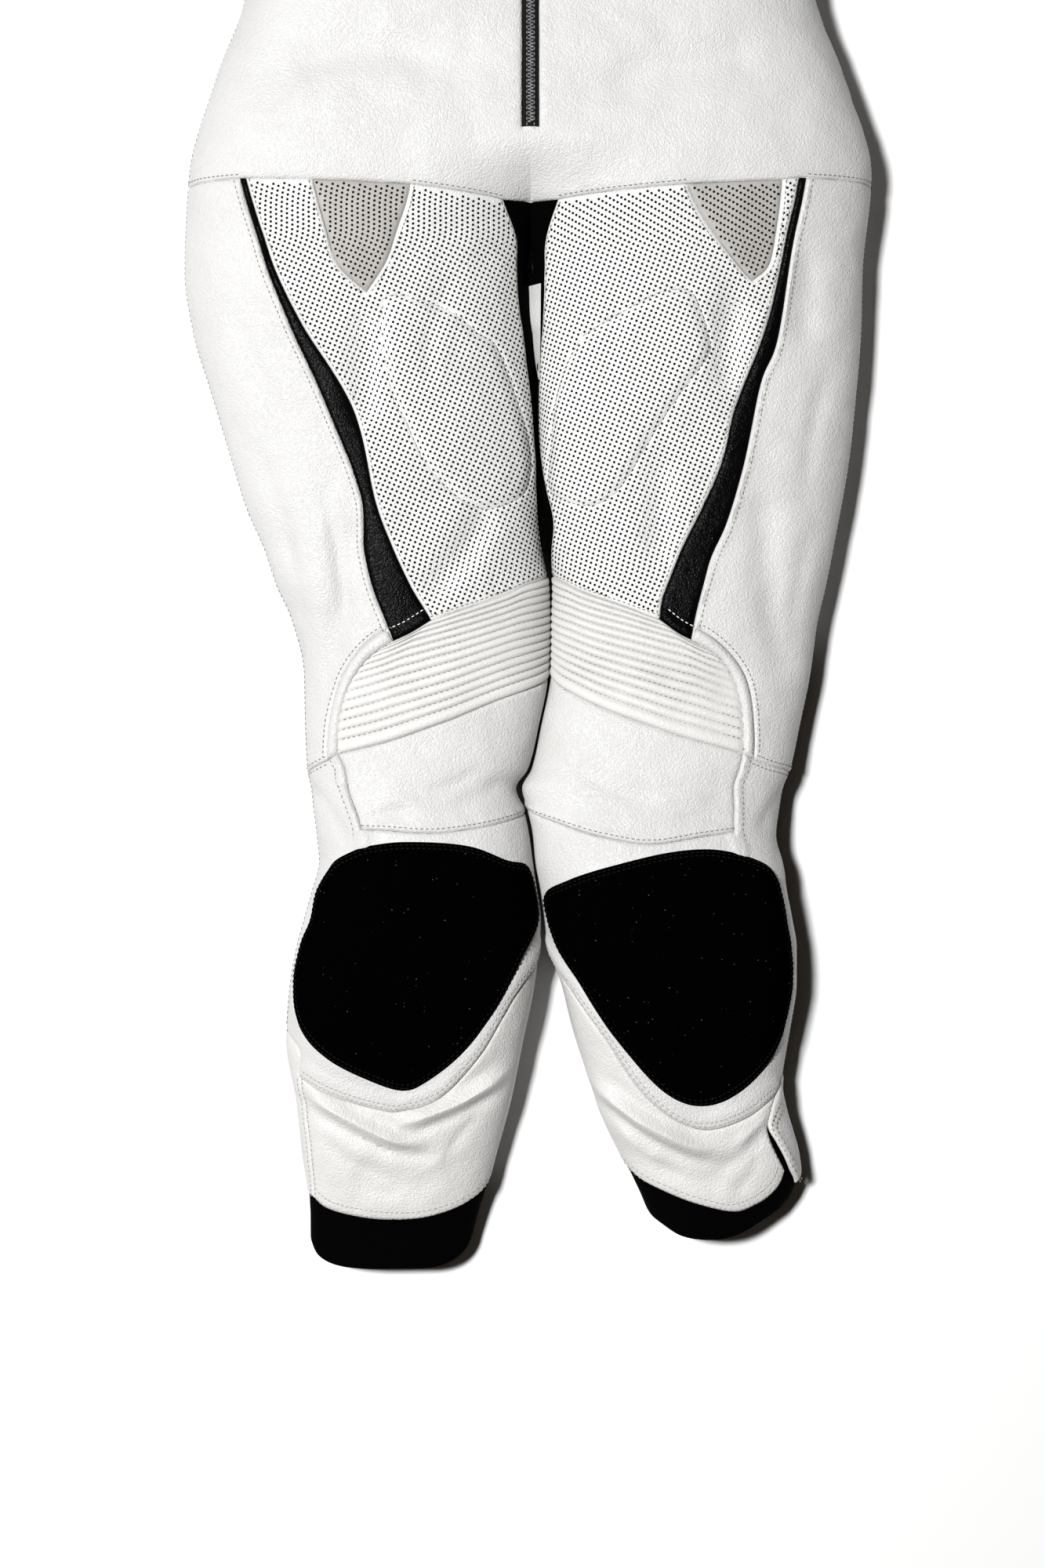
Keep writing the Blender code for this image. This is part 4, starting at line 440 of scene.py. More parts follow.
RIGHT = LegPattern(
    side=Side.RIGHT,
    edges=(
        (10, 2, 288), (60, -1, 281), (110, -4, 266), (160, -7, 251), (208, -8, 236),
        (240, -10, 222), (270, -15, 212), (300, -16, 199), (343, -15, 189), (387, -7, 188),
        (423, 2, 186), (439, 12, 183), (455, 6, 181), (478, 1, 178), (500, -2, 176),
        (525, -6, 182), (546, -9, 188), (572, -7, 195), (600, -4, 200), (650, 6, 204),
        (700, 16, 196), (748, 29, 191), (775, 36, 187), (798, 43, 186), (819, 48, 186),
        (860, 56, 182),
    ),
    seams={
        **yoke(98, 178, 233, 238),
        "stripe_outer": ((238, -60), (217, 10), (189, 78), (163, 136), (139, 201), (137, 244),
                         (126, 285), (113, 318)),
        "stripe_inner": ((233, -60), (211, 10), (189, 56), (146, 127), (128, 201), (115, 237),
                         (99, 272), (82, 301)),
        "stripe_end": ((82, 301), (98, 311), (113, 318)),
        "insert_outer": ((178, -58), (168, -20), (158, 10), (134, 33)),
        "insert_inner": ((98, -54), (108, -20), (119, 10), (134, 33)),
        "thigh_inner": ((22, -44), (10, 10), (7, 49), (0, 103), (-5, 160), (-7, 215), (IN, 262)),
        "rib_top": ((82, 301), (50, 290), (17, 278), (0, 270), (IN, 262)),
        "rib_curve": ((113, 318), (135, 334), (151, 357), (158, 385), (159, 411)),
        "band_outer": ((113, 318), (120, 310), (142, 327), (159, 352), (167, 385), (168, 416)),
        "band_end": ((159, 411), (168, 416)),
        "rib_bottom": ((159, 411), (121, 402), (71, 385), (19, 364), (IN, 345)),
        "cross_outer": ((168, 416), (179, 421), (OUT, 427)),
        "knee_side": ((159, 411), (153, 423), (149, 444), (142, 462), (139, 473)),
        "knee_seam": ((139, 473), (114, 474), (80, 476), (45, 472), (15, 465), (IN, 459)),
        "zip_top": ((OUT, 640), (194, 655), (191, 678)),
        "surround": ((191, 678), (164, 693), (126, 704), (106, 705), (73, 693), (40, 657),
                     (10, 606), (IN, 576)),
        "zip_side": ((191, 678), (188, 705), (184, 740), (181, 781)),
        "hem_side": ((181, 781), (OUT, 776)),
        "hem": ((181, 781), (170, 789), (145, 795), (106, 798), (71, 792), (45, 779), (IN, 762)),
        "cuff_end": ((OUT, 817), (180, 829), (164, 837), (141, 840), (110, 840), (80, 839),
                     (60, 832), (IN, 817)),
    },
    patch=(
        (138, 487), (103, 483), (53, 486), (20, 498), (1, 506), (-6, 546), (8, 581), (28, 621),
        (53, 654), (83, 679), (106, 688), (139, 677), (170, 660), (192, 634), (196, 606),
        (190, 568), (182, 548), (176, 523), (164, 502),
    ),
    pad=(
        (123, 65), (115, 36), (68, 46), (43, 65), (25, 80), (2, 147), (0, 180), (8, 198),
        (32, 209), (48, 206), (64, 196), (86, 172), (103, 136), (114, 114),
    ),
    folds=RIGHT_FOLDS,
    knee_band=((159, 411), (153, 423), (149, 444), (142, 462), (139, 473), (138, 484)),
)
LEFT = LegPattern(
    side=Side.LEFT,
    edges=(
        (10, 2, 277), (60, 4, 276), (110, 6, 272), (160, 8, 267), (208, 11, 259),
        (240, 14, 253), (270, 19, 247), (300, 18, 240), (343, 17, 234), (387, 9, 225),
        (423, 1, 217), (439, -7, 211), (455, -3, 208), (478, 2, 205), (500, 4, 210),
        (525, 8, 214), (546, 11, 218), (572, 15, 222), (600, 25, 222), (640, 35, 217),
        (689, 51, 210), (705, 56, 213), (726, 65, 219), (744, 74, 224), (760, 82, 226),
        (779, 91, 220), (795, 98, 209), (812, 112, 198), (860, 130, 188),
    ),
    seams={
        **yoke(128, 206, 220, 226),
        "stripe_outer": ((226, -60), (213, 10), (202, 75), (189, 108), (174, 179), (161, 222),
                         (145, 261), (132, 317)),
        "stripe_inner": ((220, -60), (206, 10), (192, 65), (168, 127), (160, 162), (145, 201),
                         (113, 270), (106, 300)),
        "stripe_end": ((106, 300), (119, 310), (132, 317)),
        "insert_outer": ((206, -58), (202, -20), (196, 10), (182, 24)),
        "insert_inner": ((128, -54), (146, -20), (169, 10), (182, 24)),
        "thigh_inner": ((22, -44), (11, 10), (8, 72), (7, 136), (10, 179), (18, 222), (IN, 262)),
        "rib_top": ((106, 300), (71, 287), (41, 276), (28, 269), (IN, 262)),
        "rib_curve": ((132, 317), (155, 332), (169, 354), (175, 384), (175, 411)),
        "band_outer": ((132, 317), (139, 309), (162, 326), (178, 350), (184, 384), (184, 415)),
        "band_end": ((175, 411), (184, 415)),
        "rib_bottom": ((175, 411), (128, 398), (84, 383), (40, 364), (26, 356), (IN, 343)),
        "cross_outer": ((184, 415), (201, 421), (OUT, 426)),
        "knee_side": ((175, 411), (170, 430), (168, 450), (168, 465), (168, 475)),
        "knee_seam": ((168, 475), (139, 479), (98, 485), (58, 479), (17, 466), (IN, 456)),
        "zip_top": ((OUT, 676), (208, 682), (204, 692)),
        "surround": ((204, 692), (195, 700), (177, 712), (146, 721), (118, 712), (87, 684),
                     (56, 638), (30, 601), (IN, 575)),
        "zip_side": ((204, 692), (199, 712), (198, 725), (204, 741), (212, 757)),
        "hem_side": ((212, 757), (219, 765), (OUT, 772)),
        "hem": ((212, 757), (204, 773), (190, 784), (170, 791), (140, 785), (103, 771),
                (IN, 751)),
        "cuff_end": ((OUT, 774), (215, 786), (201, 797), (178, 809), (155, 815), (130, 814),
                     (114, 808), (IN, 794)),
    },
    patch=(
        (173, 493), (146, 489), (111, 492), (62, 504), (30, 515), (12, 528), (15, 550),
        (27, 580), (49, 615), (78, 656), (111, 690), (141, 701), (172, 690), (200, 662),
        (212, 636), (217, 597), (214, 559), (208, 528), (199, 506),
    ),
    pad=(
        (43, 67), (80, 46), (106, 34), (125, 31), (136, 39), (147, 72), (145, 86), (127, 110),
        (106, 140), (80, 183), (67, 198), (52, 206), (32, 203), (15, 192), (16, 157), (19, 127),
        (28, 93),
    ),
    folds=LEFT_FOLDS,
    knee_band=((175, 411), (170, 430), (168, 450), (168, 465), (168, 475), (174, 491)),
    welt=((204, 692), (199, 706), (197, 719), (203, 732), (210, 745), (216, 757), (221, 768)),
)


# ---- the form
@dataclass
class Form:
    """A hollow part of the suit, whose points are given by a turn and a distance down."""

    side: Side

    def point(self, turn: Array, down: Array) -> Array:
        """Places points on the bare form: across, down and up, in mm."""
        raise NotImplementedError

    def relief(self, turn: Array, down: Array) -> Array:
        """Adds up the folds, as a move along the normal for each point, in mm."""
        raise NotImplementedError

    def sharp_lines(self) -> list[Array]:
        """Gives the lines that the cloth's points follow."""
        return []

    @staticmethod
    def on_sides(turn: Array) -> tuple[Array, Array, Array]:
        """Tells for each turn whether it is on the front, and its turn on front and back."""
        back = np.where(turn < 0.0, -turn, np.clip(2.0 * pi - turn, 0.0, pi))
        return (turn >= 0.0) & (turn <= pi), np.clip(turn, 0.0, pi), back

    @staticmethod
    def lying(turn: Array, inner: Array, outer: Array, equator: Array,
              joined: Array = 0.0) -> tuple[Array, Array]:
        """Shapes the back of a ring, round at its edges and flat where it rests.

        Args:
            turn: The turn of each point, from 0 to pi.
            inner: The inner edge's distance across.
            outer: The outer edge's.
            equator: The height of the edges.
            joined: 1 where the nearer edge runs on into another form, which leaves it flat.

        Returns:
            The distance across, and the height as a share of the equator's.
        """
        quarter = pi / 4.0
        angle = np.clip(np.minimum(turn, pi - turn) / quarter, 0.0, 1.0) * pi / 2.0
        edge = equator * mix(1.0 - np.cos(angle), angle * 2.0 / pi, joined)
        share = np.clip((turn - quarter) / (2.0 * quarter), 0.0, 1.0)
        flat = mix(inner + equator, outer - equator, share)
        across = np.where(turn < quarter, inner + edge,
                          np.where(turn > 3.0 * quarter, outer - edge, flat))
        return across, (1.0 - joined) * (1.0 - np.sin(angle))

    def outward(self, turn: Array, down: Array) -> Array:
        """Takes the normals of the bare form.

        Args:
            turn, down: Each point's turn and distance down.

        Returns:
            A unit normal for each, across, down and up.
        """
        small_turn, small_down = 2e-4, 0.05
        sheet_low = np.where(turn < 0.0, -pi, np.where(turn > pi, pi, 0.0))
        sheet_high = np.where(turn < 0.0, BACK_EDGE, sheet_low + pi)
        around = (self.point(np.clip(turn + small_turn, sheet_low, sheet_high), down)
                  - self.point(np.clip(turn - small_turn, sheet_low, sheet_high), down))
        along = self.point(turn, down + small_down) - self.point(turn, down - small_down)
        normal = unit(np.cross(around, along))
        away = np.einsum("ij,ij->i", normal, self.point(turn, down) - self.core(down))
        return normal * np.where(away < 0.0, -1.0, 1.0)[:, None]

    def world(self, points: Array) -> Array:
        """Turns positions on the form into world millimetres."""
        return points * (self.side.value, -1.0, 1.0) + (0.0, SUIT_MIDDLE_DOWN, 0.0)

    def world_way(self, ways: Array) -> Array:
        """Turns directions on the form into unit directions in the world."""
        return unit(ways * (self.side.value, -1.0, 1.0))


@dataclass
class BodyForm(Form):
    """One half of the suit, leg and body."""

    pattern: LegPattern  # what is drawn on it
    merge_end: float = -95.0  # above this distance down the two legs are one body
    pad_rise: float = 1.8  # how far the padded field stands up
    pad_edge: float = 9.0  # how far in from its edge it has its full height
    pad_groove: tuple[float, float] = (0.9, 1.2)  # the depth and half width of the groove round it
    shoulder_lift: float = 0.8  # how far the front lies over the back on the shoulder seam
    shoulder_round: float = 46.0  # how far below the seam the shoulder's rounding starts
    neck_reach: float = 26.0  # how far beside the neck it fades

    def __post_init__(self) -> None:
        """Takes its edges and the padded field from the pattern."""
        edges = self.pattern.edges
        self.outer_rows = BODY_EDGE + tuple((down, outer) for down, _, outer in edges)
        self.inner_rows = BODY_MIDDLE + tuple((down, inner) for down, inner, _ in edges)
        self.pad = through_points(closed(np.array(self.pattern.pad)), 5)

    def inner(self, down: Array) -> Array:
        """Reads the inner edge's distance across."""
        return smooth_table(self.inner_rows, down, 1)

    def outer(self, down: Array) -> Array:
        """Reads the outer edge's distance across, straight along the armhole."""
        slope = (ARMPIT_ACROSS - SHOULDER_ACROSS) / (ARMPIT_DOWN - SHOULDER_DOWN)
        return np.where(down < ARMPIT_DOWN, ARMPIT_ACROSS + (down - ARMPIT_DOWN) * slope,
                        smooth_table(self.outer_rows, down, 1))

    def height(self, down: Array) -> Array:
        """Reads the height of a ring."""
        return smooth_table(HEIGHTS, down, 1)

    def joined(self, turn: Array, down: Array) -> Array:
        """Tells how far the nearer edge runs on into the other half or the sleeve.

        Args:
            turn, down: Each point's turn and distance down.

        Returns:
            From 0 on a leg's own edge to 1 in the body's middle, or high in the armhole.
        """
        merged = smooth_step(-down, 0.0, -self.merge_end)
        share = np.clip((ARMPIT_DOWN - down) / (ARMPIT_DOWN - SHOULDER_DOWN), 0.0, 1.0)
        turns = np.linspace(0.0, pi, 181)
        arm_turn = np.interp(share, (1.0 - ring_across(turns)) / 2.0, turns)
        return np.where(turn < pi / 2.0, merged, np.clip(ring_rise(arm_turn), 0.0, 1.0))

    def shoulder_close(self, across: Array, down: Array) -> Array:
        """Brings front and back together on the shoulder seam.

        Args:
            across: The distance across of each point.
            down: The distance down of each.

        Returns:
            From 0 on the body to 1 on the seam.
        """
        run = np.array([SHOULDER_ACROSS - NECK_SIDE_ACROSS, SHOULDER_DOWN - NECK_SIDE_DOWN])
        run /= np.linalg.norm(run)
        below = (down - NECK_SIDE_DOWN) * run[0] - (across - NECK_SIDE_ACROSS) * run[1]
        share = np.clip(below / self.shoulder_round, 0.0, 1.0)
        beyond_neck = smooth_step(across, NECK_SIDE_ACROSS - self.neck_reach, NECK_SIDE_ACROSS)
        return beyond_neck * (1.0 - np.sqrt(1.0 - (1.0 - share) ** 2))

    def across_front(self, turn: Array, down: Array) -> Array:
        """Gives how far across the front lies at a turn."""
        share = mix(1.0 - ring_across(turn), turn * 2.0 / pi, self.joined(turn, down)) / 2.0
        return mix(self.inner(down), self.outer(down), share)

    def front(self, turn: Array, down: Array) -> tuple[Array, Array]:
        """Shapes the bare front.

        Args:
            turn, down: Each point's turn, from 0 to pi, and distance down.

        Returns:
            Its distance across and its height.
        """
        height = self.height(down)
        equator = height * EQUATOR_SHARE
        rise = mix(ring_rise(turn), 1.0, self.joined(turn, down))
        across = self.across_front(turn, down)
        close = self.shoulder_close(across, down)
        up = equator + (height - equator) * rise * (1.0 - close) + self.shoulder_lift * close
        return across, up

    def back(self, turn: Array, down: Array) -> tuple[Array, Array]:
        """Shapes the bare back, likewise."""
        equator = self.height(down) * EQUATOR_SHARE
        across, lift = self.lying(turn, self.inner(down), self.outer(down), equator,
                                  self.joined(turn, down))
        return across, equator * np.maximum(lift, self.shoulder_close(across, down))

    def point(self, turn: Array, down: Array) -> Array:
        """Places points on the bare form.

        Args:
            turn, down: Each point's turn, from minus pi to 2 pi, and distance down.

        Returns:
            Across, down and up for each, in mm.
        """
        turn, down = np.broadcast_arrays(np.asarray(turn, float), np.asarray(down, float))
        on_front, front_turn, back_turn = self.on_sides(turn)
        across, up = (np.where(on_front, front, back) for front, back
                      in zip(self.front(front_turn, down), self.back(back_turn, down)))
        return np.column_stack([across, down, up])

    def core(self, down: Array) -> Array:
        """Gives a point inside each ring, which the outward side faces away from."""
        middle = (self.inner(down) + self.outer(down)) / 2.0
        return np.column_stack([middle, np.maximum(down, ARMPIT_DOWN),
                                self.height(down) * EQUATOR_SHARE])

    def relief(self, turn: Array, down: Array) -> Array:
        """Adds up the folds and the padded field.

        Args:
            turn, down: Each point's turn and distance down.

        Returns:
            The move along the normal for each point, in mm.
        """
        spots = self.point(turn, down)[:, :2]
        total = sum(fold.height(spots) for fold in self.pattern.folds)
        near = (down > 0.0) & (down < 240.0)
        if near.any():
            gap, _ = path_gap(spots[near], self.pad)
            depth, half_width = self.pad_groove
            field_rise = self.pad_rise * smooth_step(gap, 0.0, self.pad_edge)
            total[near] += (inside_outline(spots[near], self.pad) * field_rise
                            - depth * np.exp(-(gap / half_width) ** 2))
        return (total * smooth_step(np.minimum(turn, pi - turn), 0.0, 0.25)
                * ((turn > 0.0) & (turn < pi)))

    def sharp_lines(self) -> list[Array]:
        """Gives the lines that the cloth's points follow: sharp creases and the pad's edge."""
        lines = [np.asarray(fold.points, float) for fold in self.pattern.folds
                 if fold.shape is FoldShape.CREASE]
        return lines + [self.pad[::4]]

    def turn_at(self, across: float, down: float, back: bool = False) -> float:
        """Finds the turn at which the front, or the back, lies at a distance across.

        Args:
            across: The distance across.
            down: The distance down.
            back: Whether to look on the back.

        Returns:
            The turn, negative on the back.
        """
        turns = np.linspace(0.0, pi, 241)
        level = np.full(len(turns), float(down))
        line = self.back(turns, level)[0] if back else self.across_front(turns, level)
        turn = float(np.interp(across, line, turns))
        return min(-turn, BACK_EDGE) if back else turn


@dataclass
class SleeveForm(Form):
    """One sleeve: positions by turn and distance along the arm."""

    angle: float = math.radians(45.0)  # the arm's angle from the body
    straight_from: float = 250.0  # how far along the arm its rings stand square to it
    fold_slant: float = 16.0  # how far a fold moves along the arm over one radian of turn

    def frame(self, along: Array) -> tuple[Array, Array]:
        """Finds each ring's place.

        Args:
            along: The distance along the arm of each ring.

        Returns:
            The ring's middle and the direction across it.
        """
        armpit = np.array([ARMPIT_ACROSS, ARMPIT_DOWN])
        shoulder = np.array([SHOULDER_ACROSS, SHOULDER_DOWN])
        axis = np.array([math.sin(self.angle), math.cos(self.angle)])
        hole = math.atan2(*(shoulder - armpit)[::-1])
        square = math.atan2(-axis[0], axis[1])
        angle = mix(hole, square, smooth_step(along, 0.0, self.straight_from))
        centre = (armpit + shoulder) / 2.0 + along[:, None] * axis
        return centre, np.column_stack([np.cos(angle), np.sin(angle)])

    def point(self, turn: Array, along: Array) -> Array:
        """Places points on the bare sleeve.

        Args:
            turn, along: Each point's turn and distance along the arm.

        Returns:
            Across, down and up for each, in mm.
        """
        turn, along = np.broadcast_arrays(np.asarray(turn, float), np.asarray(along, float))
        centre, way = self.frame(along)
        half, height = smooth_table(SLEEVE, along, 1) / 2.0, smooth_table(SLEEVE, along, 2)
        equator = height * EQUATOR_SHARE
        on_front, _, back_turn = self.on_sides(turn)
        back_across, lift = self.lying(back_turn, -half, half, equator)
        across = np.where(on_front, -ring_across(turn) * half, back_across)
        up = np.where(on_front, mix(equator, height, ring_rise(turn)), equator * lift)
        return np.column_stack([centre + across[:, None] * way, up])

    def core(self, along: Array) -> Array:
        """Gives a point inside each ring, which the outward side faces away from."""
        return np.column_stack([self.frame(along)[0], smooth_table(SLEEVE, along, 2)
                                * EQUATOR_SHARE])

    def relief(self, turn: Array, along: Array) -> Array:
        """Adds up the sleeve's folds.

        Args:
            turn, along: Each point's turn and distance along the arm.

        Returns:
            The move along the normal for each point, in mm.
        """
        total = np.zeros(len(turn))
        for rise, half_width, place, start, end in SLEEVE_FOLDS:
            slant = place + self.fold_slant * (turn - (start + end) / 2.0)
            reach = (smooth_step(turn, start - 0.4, start + 0.2)
                     * fall_off(turn, end - 0.2, end + 0.4))
            total += rise * np.exp(-((along - slant) / half_width) ** 2) * reach
        return total * ((turn > 0.0) & (turn < pi))


# ---- cloth measured flat
class ClothMap:
    """Turns a form's turns into millimetres of cloth around it, and back."""

    def __init__(self, form: Form, first: float, last: float, step: float = 6.0,
                 steps_round: int = 160) -> None:
        """Measures the form's rings.

        Args:
            form: The form to measure.
            first: The first distance down.
            last: The last distance down.
            step: The distance between rings.
            steps_round: How many steps half a ring has.
        """
        self.rows = np.linspace(first, last, int((last - first) / step) + 1)
        self.turns = np.linspace(-pi, pi, 2 * steps_round + 1)
        table = []
        for down in self.rows:
            level = np.full(steps_round + 1, down)
            ahead = run_lengths(form.point(self.turns[steps_round:], level))
            back = form.point(np.r_[self.turns[:steps_round], BACK_EDGE], level)
            table.append(np.r_[-run_lengths(back[::-1])[:0:-1], ahead])
        self.table = np.array(table)

    def around(self, turn: Array, down: Array) -> Array:
        """Measures the cloth from the inner edge to each turn, in mm."""
        row = np.clip((down - self.rows[0]) / (self.rows[1] - self.rows[0]),
                      0, len(self.rows) - 1.001)
        column = np.clip((turn + pi) / (self.turns[1] - self.turns[0]),
                         0, len(self.turns) - 1.001)
        i, j = row.astype(int), column.astype(int)
        t = self.table
        return mix(mix(t[i, j], t[i + 1, j], row - i), mix(t[i, j + 1], t[i + 1, j + 1], row - i),
                   column - j)

    def flat(self, turned: Array) -> Array:
        """Turns (turn, down) rows into (around, down) rows."""
        return np.column_stack([self.around(*turned.T), turned[:, 1]])

    def unflat(self, flat: Array, halvings: int = 26, slack: float = 0.001) -> Array:
        """Turns (around, down) rows into (turn, down) rows, each kept on its own side.

        Args:
            flat: The rows.
            halvings: How often the turn is narrowed down by half.
            slack: Cloth this near the inner edge counts as front, in mm.

        Returns:
            The (turn, down) rows.
        """
        around, down = flat.T
        low, high = np.full(len(flat), -pi), np.full(len(flat), pi)
        for _ in range(halvings):
            middle = (low + high) / 2.0
            short = self.around(middle, down) < around
            low, high = np.where(short, middle, low), np.where(short, high, middle)
        turn = (low + high) / 2.0
        turn = np.where(around > -slack, np.maximum(turn, 0.0), np.minimum(turn, BACK_EDGE))
        return np.column_stack([turn, down])


@dataclass
class SeamBook:
    """The seams of one half, each sampled once so that neighbours share it."""

    form: Form
    cloth: ClothMap
    table: dict[str, Pairs]  # the seams, as (across, down) points
    spacing: float  # the distance between the points along each rim
    kept: dict[str, Array] = field(default_factory=dict)  # the seams that have been sampled

    def drawn(self, points: Pairs, samples: int = 12, back: bool = False) -> Array:
        """Runs a smooth curve of (turn, down) rows through (across, down) points."""
        scale = np.array([TURN_SCALE, 1.0])
        turned = [(self.form.turn_at(across, down, back), down) for across, down in points]
        return through_points(np.array(turned) * scale, samples) / scale

    def curve(self, name: str) -> Array:
        """Gives a seam as fine (turn, down) rows. One named @back lies on the back."""
        bare_name, back, _ = name.partition("@back")
        if bare_name in STRAIGHT_SEAMS:
            return self.drawn(np.linspace(*self.table[bare_name], 40), 1, bool(back))
        return self.drawn(self.table[bare_name], back=bool(back))

    def run(self, name: str) -> Array:
        """Gives a seam as evenly spaced (around, down) rows."""
        if name not in self.kept:
            self.kept[name] = evenly(self.cloth.flat(self.curve(name)), self.spacing)
        return self.kept[name]

    def down(self, place: Place) -> float:
        """Gives a distance down: a number's own, or a seam's end, or with a minus its start."""
        if isinstance(place, str):
            return float(self.table[place.lstrip("-")][0 if place.startswith("-") else -1][1])
        return place

    def upright(self, turn: float, start: Place, end: Place) -> Array:
        """Gives a seam along the form at one turn, as (around, down) rows."""
        start, end = self.down(start), self.down(end)
        count = max(1, int(round(abs(end - start) / self.spacing))) + 1
        return self.cloth.flat(np.column_stack([np.full(count, turn),
                                                np.linspace(start, end, count)]))

    def slope(self, turn: float, place: Place, last_turn: float, last_place: Place) -> Array:
        """Gives a seam that runs evenly from one turn and place to another."""
        rows = np.column_stack([np.linspace(turn, last_turn, 60),
                                np.linspace(self.down(place), self.down(last_place), 60)])
        return evenly(self.cloth.flat(rows), self.spacing)

    def level(self, place: Place, start: float, end: float) -> Array:
        """Gives a seam around the form from one turn to another."""
        return self.slope(start, place, end, place)

    def inner_side(self, start: Place, end: Place) -> Array:
        """Gives a lower leg piece's inner edge, which lies a little way under the leg."""
        return np.vstack([self.level(start, 0.0, INNER_WRAP)[:-1],
                          self.upright(INNER_WRAP, start, end)[:-1],
                          self.level(end, INNER_WRAP, 0.0)])

    def panel(self, start: float, end: float, top: Place, low: Place,
              start_low: Optional[Place] = None) -> Array:
        """Gives the outline of a panel between two turns, whose lower edge may slope."""
        start_low = low if start_low is None else start_low
        return self.loop(self.level(top, start, end), self.upright(end, top, low),
                         self.slope(end, low, start, start_low),
                         self.upright(start, start_low, top))

    def path(self, points: Pairs) -> Array:
        """Gives a smooth line through (across, down) points, as (around, down) rows."""
        return evenly(self.cloth.flat(self.drawn(points, 8)), self.spacing)

    def loop(self, *runs: Run) -> Array:
        """Joins seams into one closed outline of (around, down) rows."""
        parts = []
        for run in runs:
            if isinstance(run, str):
                run = self.run(run[1:])[::-1] if run.startswith("-") else self.run(run)
            parts.append(run[:-1])
        return np.vstack(parts)


# ---- meshes
def walled(top: Array, under: Array, triangles: Array) -> tuple[Array, Array]:
    """Closes a sheet into a thin wall.

    Args:
        top: The outer points.
        under: The inner points, one for each outer point.
        triangles: The sheet's triangles.

    Returns:
        All the points, and the triangles of both sides and of the rim.
    """
    count = len(top)
    pairs = np.vstack([triangles[:, [0, 1]], triangles[:, [1, 2]], triangles[:, [2, 0]]])
    keys, turned_keys = pairs @ (count, 1), pairs @ (1, count)
    a, b = pairs[~np.isin(keys, turned_keys)].T
    rim = [np.column_stack([b, a, count + a]), np.column_stack([b, count + a, count + b])]
    return np.vstack([top, under]), np.vstack([triangles, triangles[:, ::-1] + count, *rim])


def grid_triangles(rows: int, columns: int, wrap: bool = False) -> Array:
    """Lays triangles over a grid of points, whose last column may join its first."""
    index = np.arange(rows * columns).reshape(rows, columns)
    if wrap:
        index = np.column_stack([index, index[:, :1]])
    a, b = index[:-1, :-1].ravel(), index[:-1, 1:].ravel()
    c, d = index[1:, 1:].ravel(), index[1:, :-1].ravel()
    return np.vstack([np.column_stack([a, b, c]), np.column_stack([a, c, d])])


def add_mesh(name: str, points: Array, triangles: Array, sharp: float = 40.0) -> Piece:
    """Makes an object from world millimetres, with its place in its mesh.

    Args:
        name: The object's name.
        points: World positions in mm.
        triangles: Rows of three point numbers.
        sharp: Edges turning by more than this many degrees are shaded sharp.

    Returns:
        The new object.
    """
    corners = points[triangles]
    volume = np.einsum("ij,ij->i", corners[:, 0], np.cross(corners[:, 1], corners[:, 2])).sum()
    triangles = triangles[:, ::-1] if volume < 0.0 else triangles
    mesh = bpy.data.meshes.new(name)
    mesh.vertices.add(len(points))
    mesh.vertices.foreach_set("co", (points * METRE).astype(np.float32).ravel())
    mesh.loops.add(triangles.size)
    mesh.loops.foreach_set("vertex_index", np.ascontiguousarray(triangles, np.int32).ravel())
    mesh.polygons.add(len(triangles))
    mesh.polygons.foreach_set("loop_start", np.arange(0, triangles.size, 3, dtype=np.int32))
    mesh.update(calc_edges=True)
    mesh.validate()
    mesh.shade_smooth()
    mesh.set_sharp_from_angle(angle=math.radians(sharp))
    return placed(name, mesh)


def placed(name: str, data: Optional[bpy.types.ID]) -> Piece:
    """Puts an object with some data into the scene."""
    made = bpy.data.objects.new(name, data)
    bpy.context.scene.collection.objects.link(made)
    return made


@dataclass
class Cut:
    """A piece cut from the cloth."""

    flat: Array  # its points, as rows of (around, down)
    turned: Array  # the same, as rows of (turn, down)
    triangles: Array  # rows of three point numbers
    rim_gap: Array  # each point's distance from the rim, in mm of cloth

    @property
    def area(self) -> float:
        """The cut's flat area, in square mm."""
        a, b, c = (self.flat[self.triangles[:, k]].T for k in range(3))
        (bx, by), (cx, cy) = b - a, c - a
        return float(np.abs(bx * cy - by * cx).sum() / 2.0)

    def size(self, thin: float = 0.36) -> tuple[float, float]:
        """Measures the cloth that it is cut from.

        Args:
            thin: A cut that fills less than this share of its rectangle counts as a strip,
                which is as wide as its area over its length.

        Returns:
            Its width and length in mm.
        """
        centred = self.flat - self.flat.mean(axis=0)
        _, _, axes = np.linalg.svd(centred[:: max(1, len(centred) // 800)], full_matrices=False)
        length, width = np.ptp(centred @ axes.T, axis=0)
        if self.area < thin * length * width:
            width = self.area / length
        return float(width), float(length)


def staggered(low: Array, high: Array, step: float) -> Array:
    """Fills a rectangle between two corners with staggered rows of points."""
    points = []
    for k, down in enumerate(np.arange(low[1], high[1], step * math.sqrt(3.0) / 2.0)):
        around = np.arange(low[0] + (k % 2) * step / 2.0, high[0], step)
        points.append(np.column_stack([around, np.full(len(around), down)]))
    return np.vstack(points)


def spread_from(points: Array, others: Array, clear: float) -> Array:
    """Keeps the points that lie clear of others."""
    if not len(others) or not len(points):
        return points
    tree = KDTree(len(others))
    for k, (x, y) in enumerate(others):
        tree.insert((x, y, 0.0), k)
    tree.balance()
    return points[[tree.find((x, y, 0.0))[2] > clear for x, y in points]]


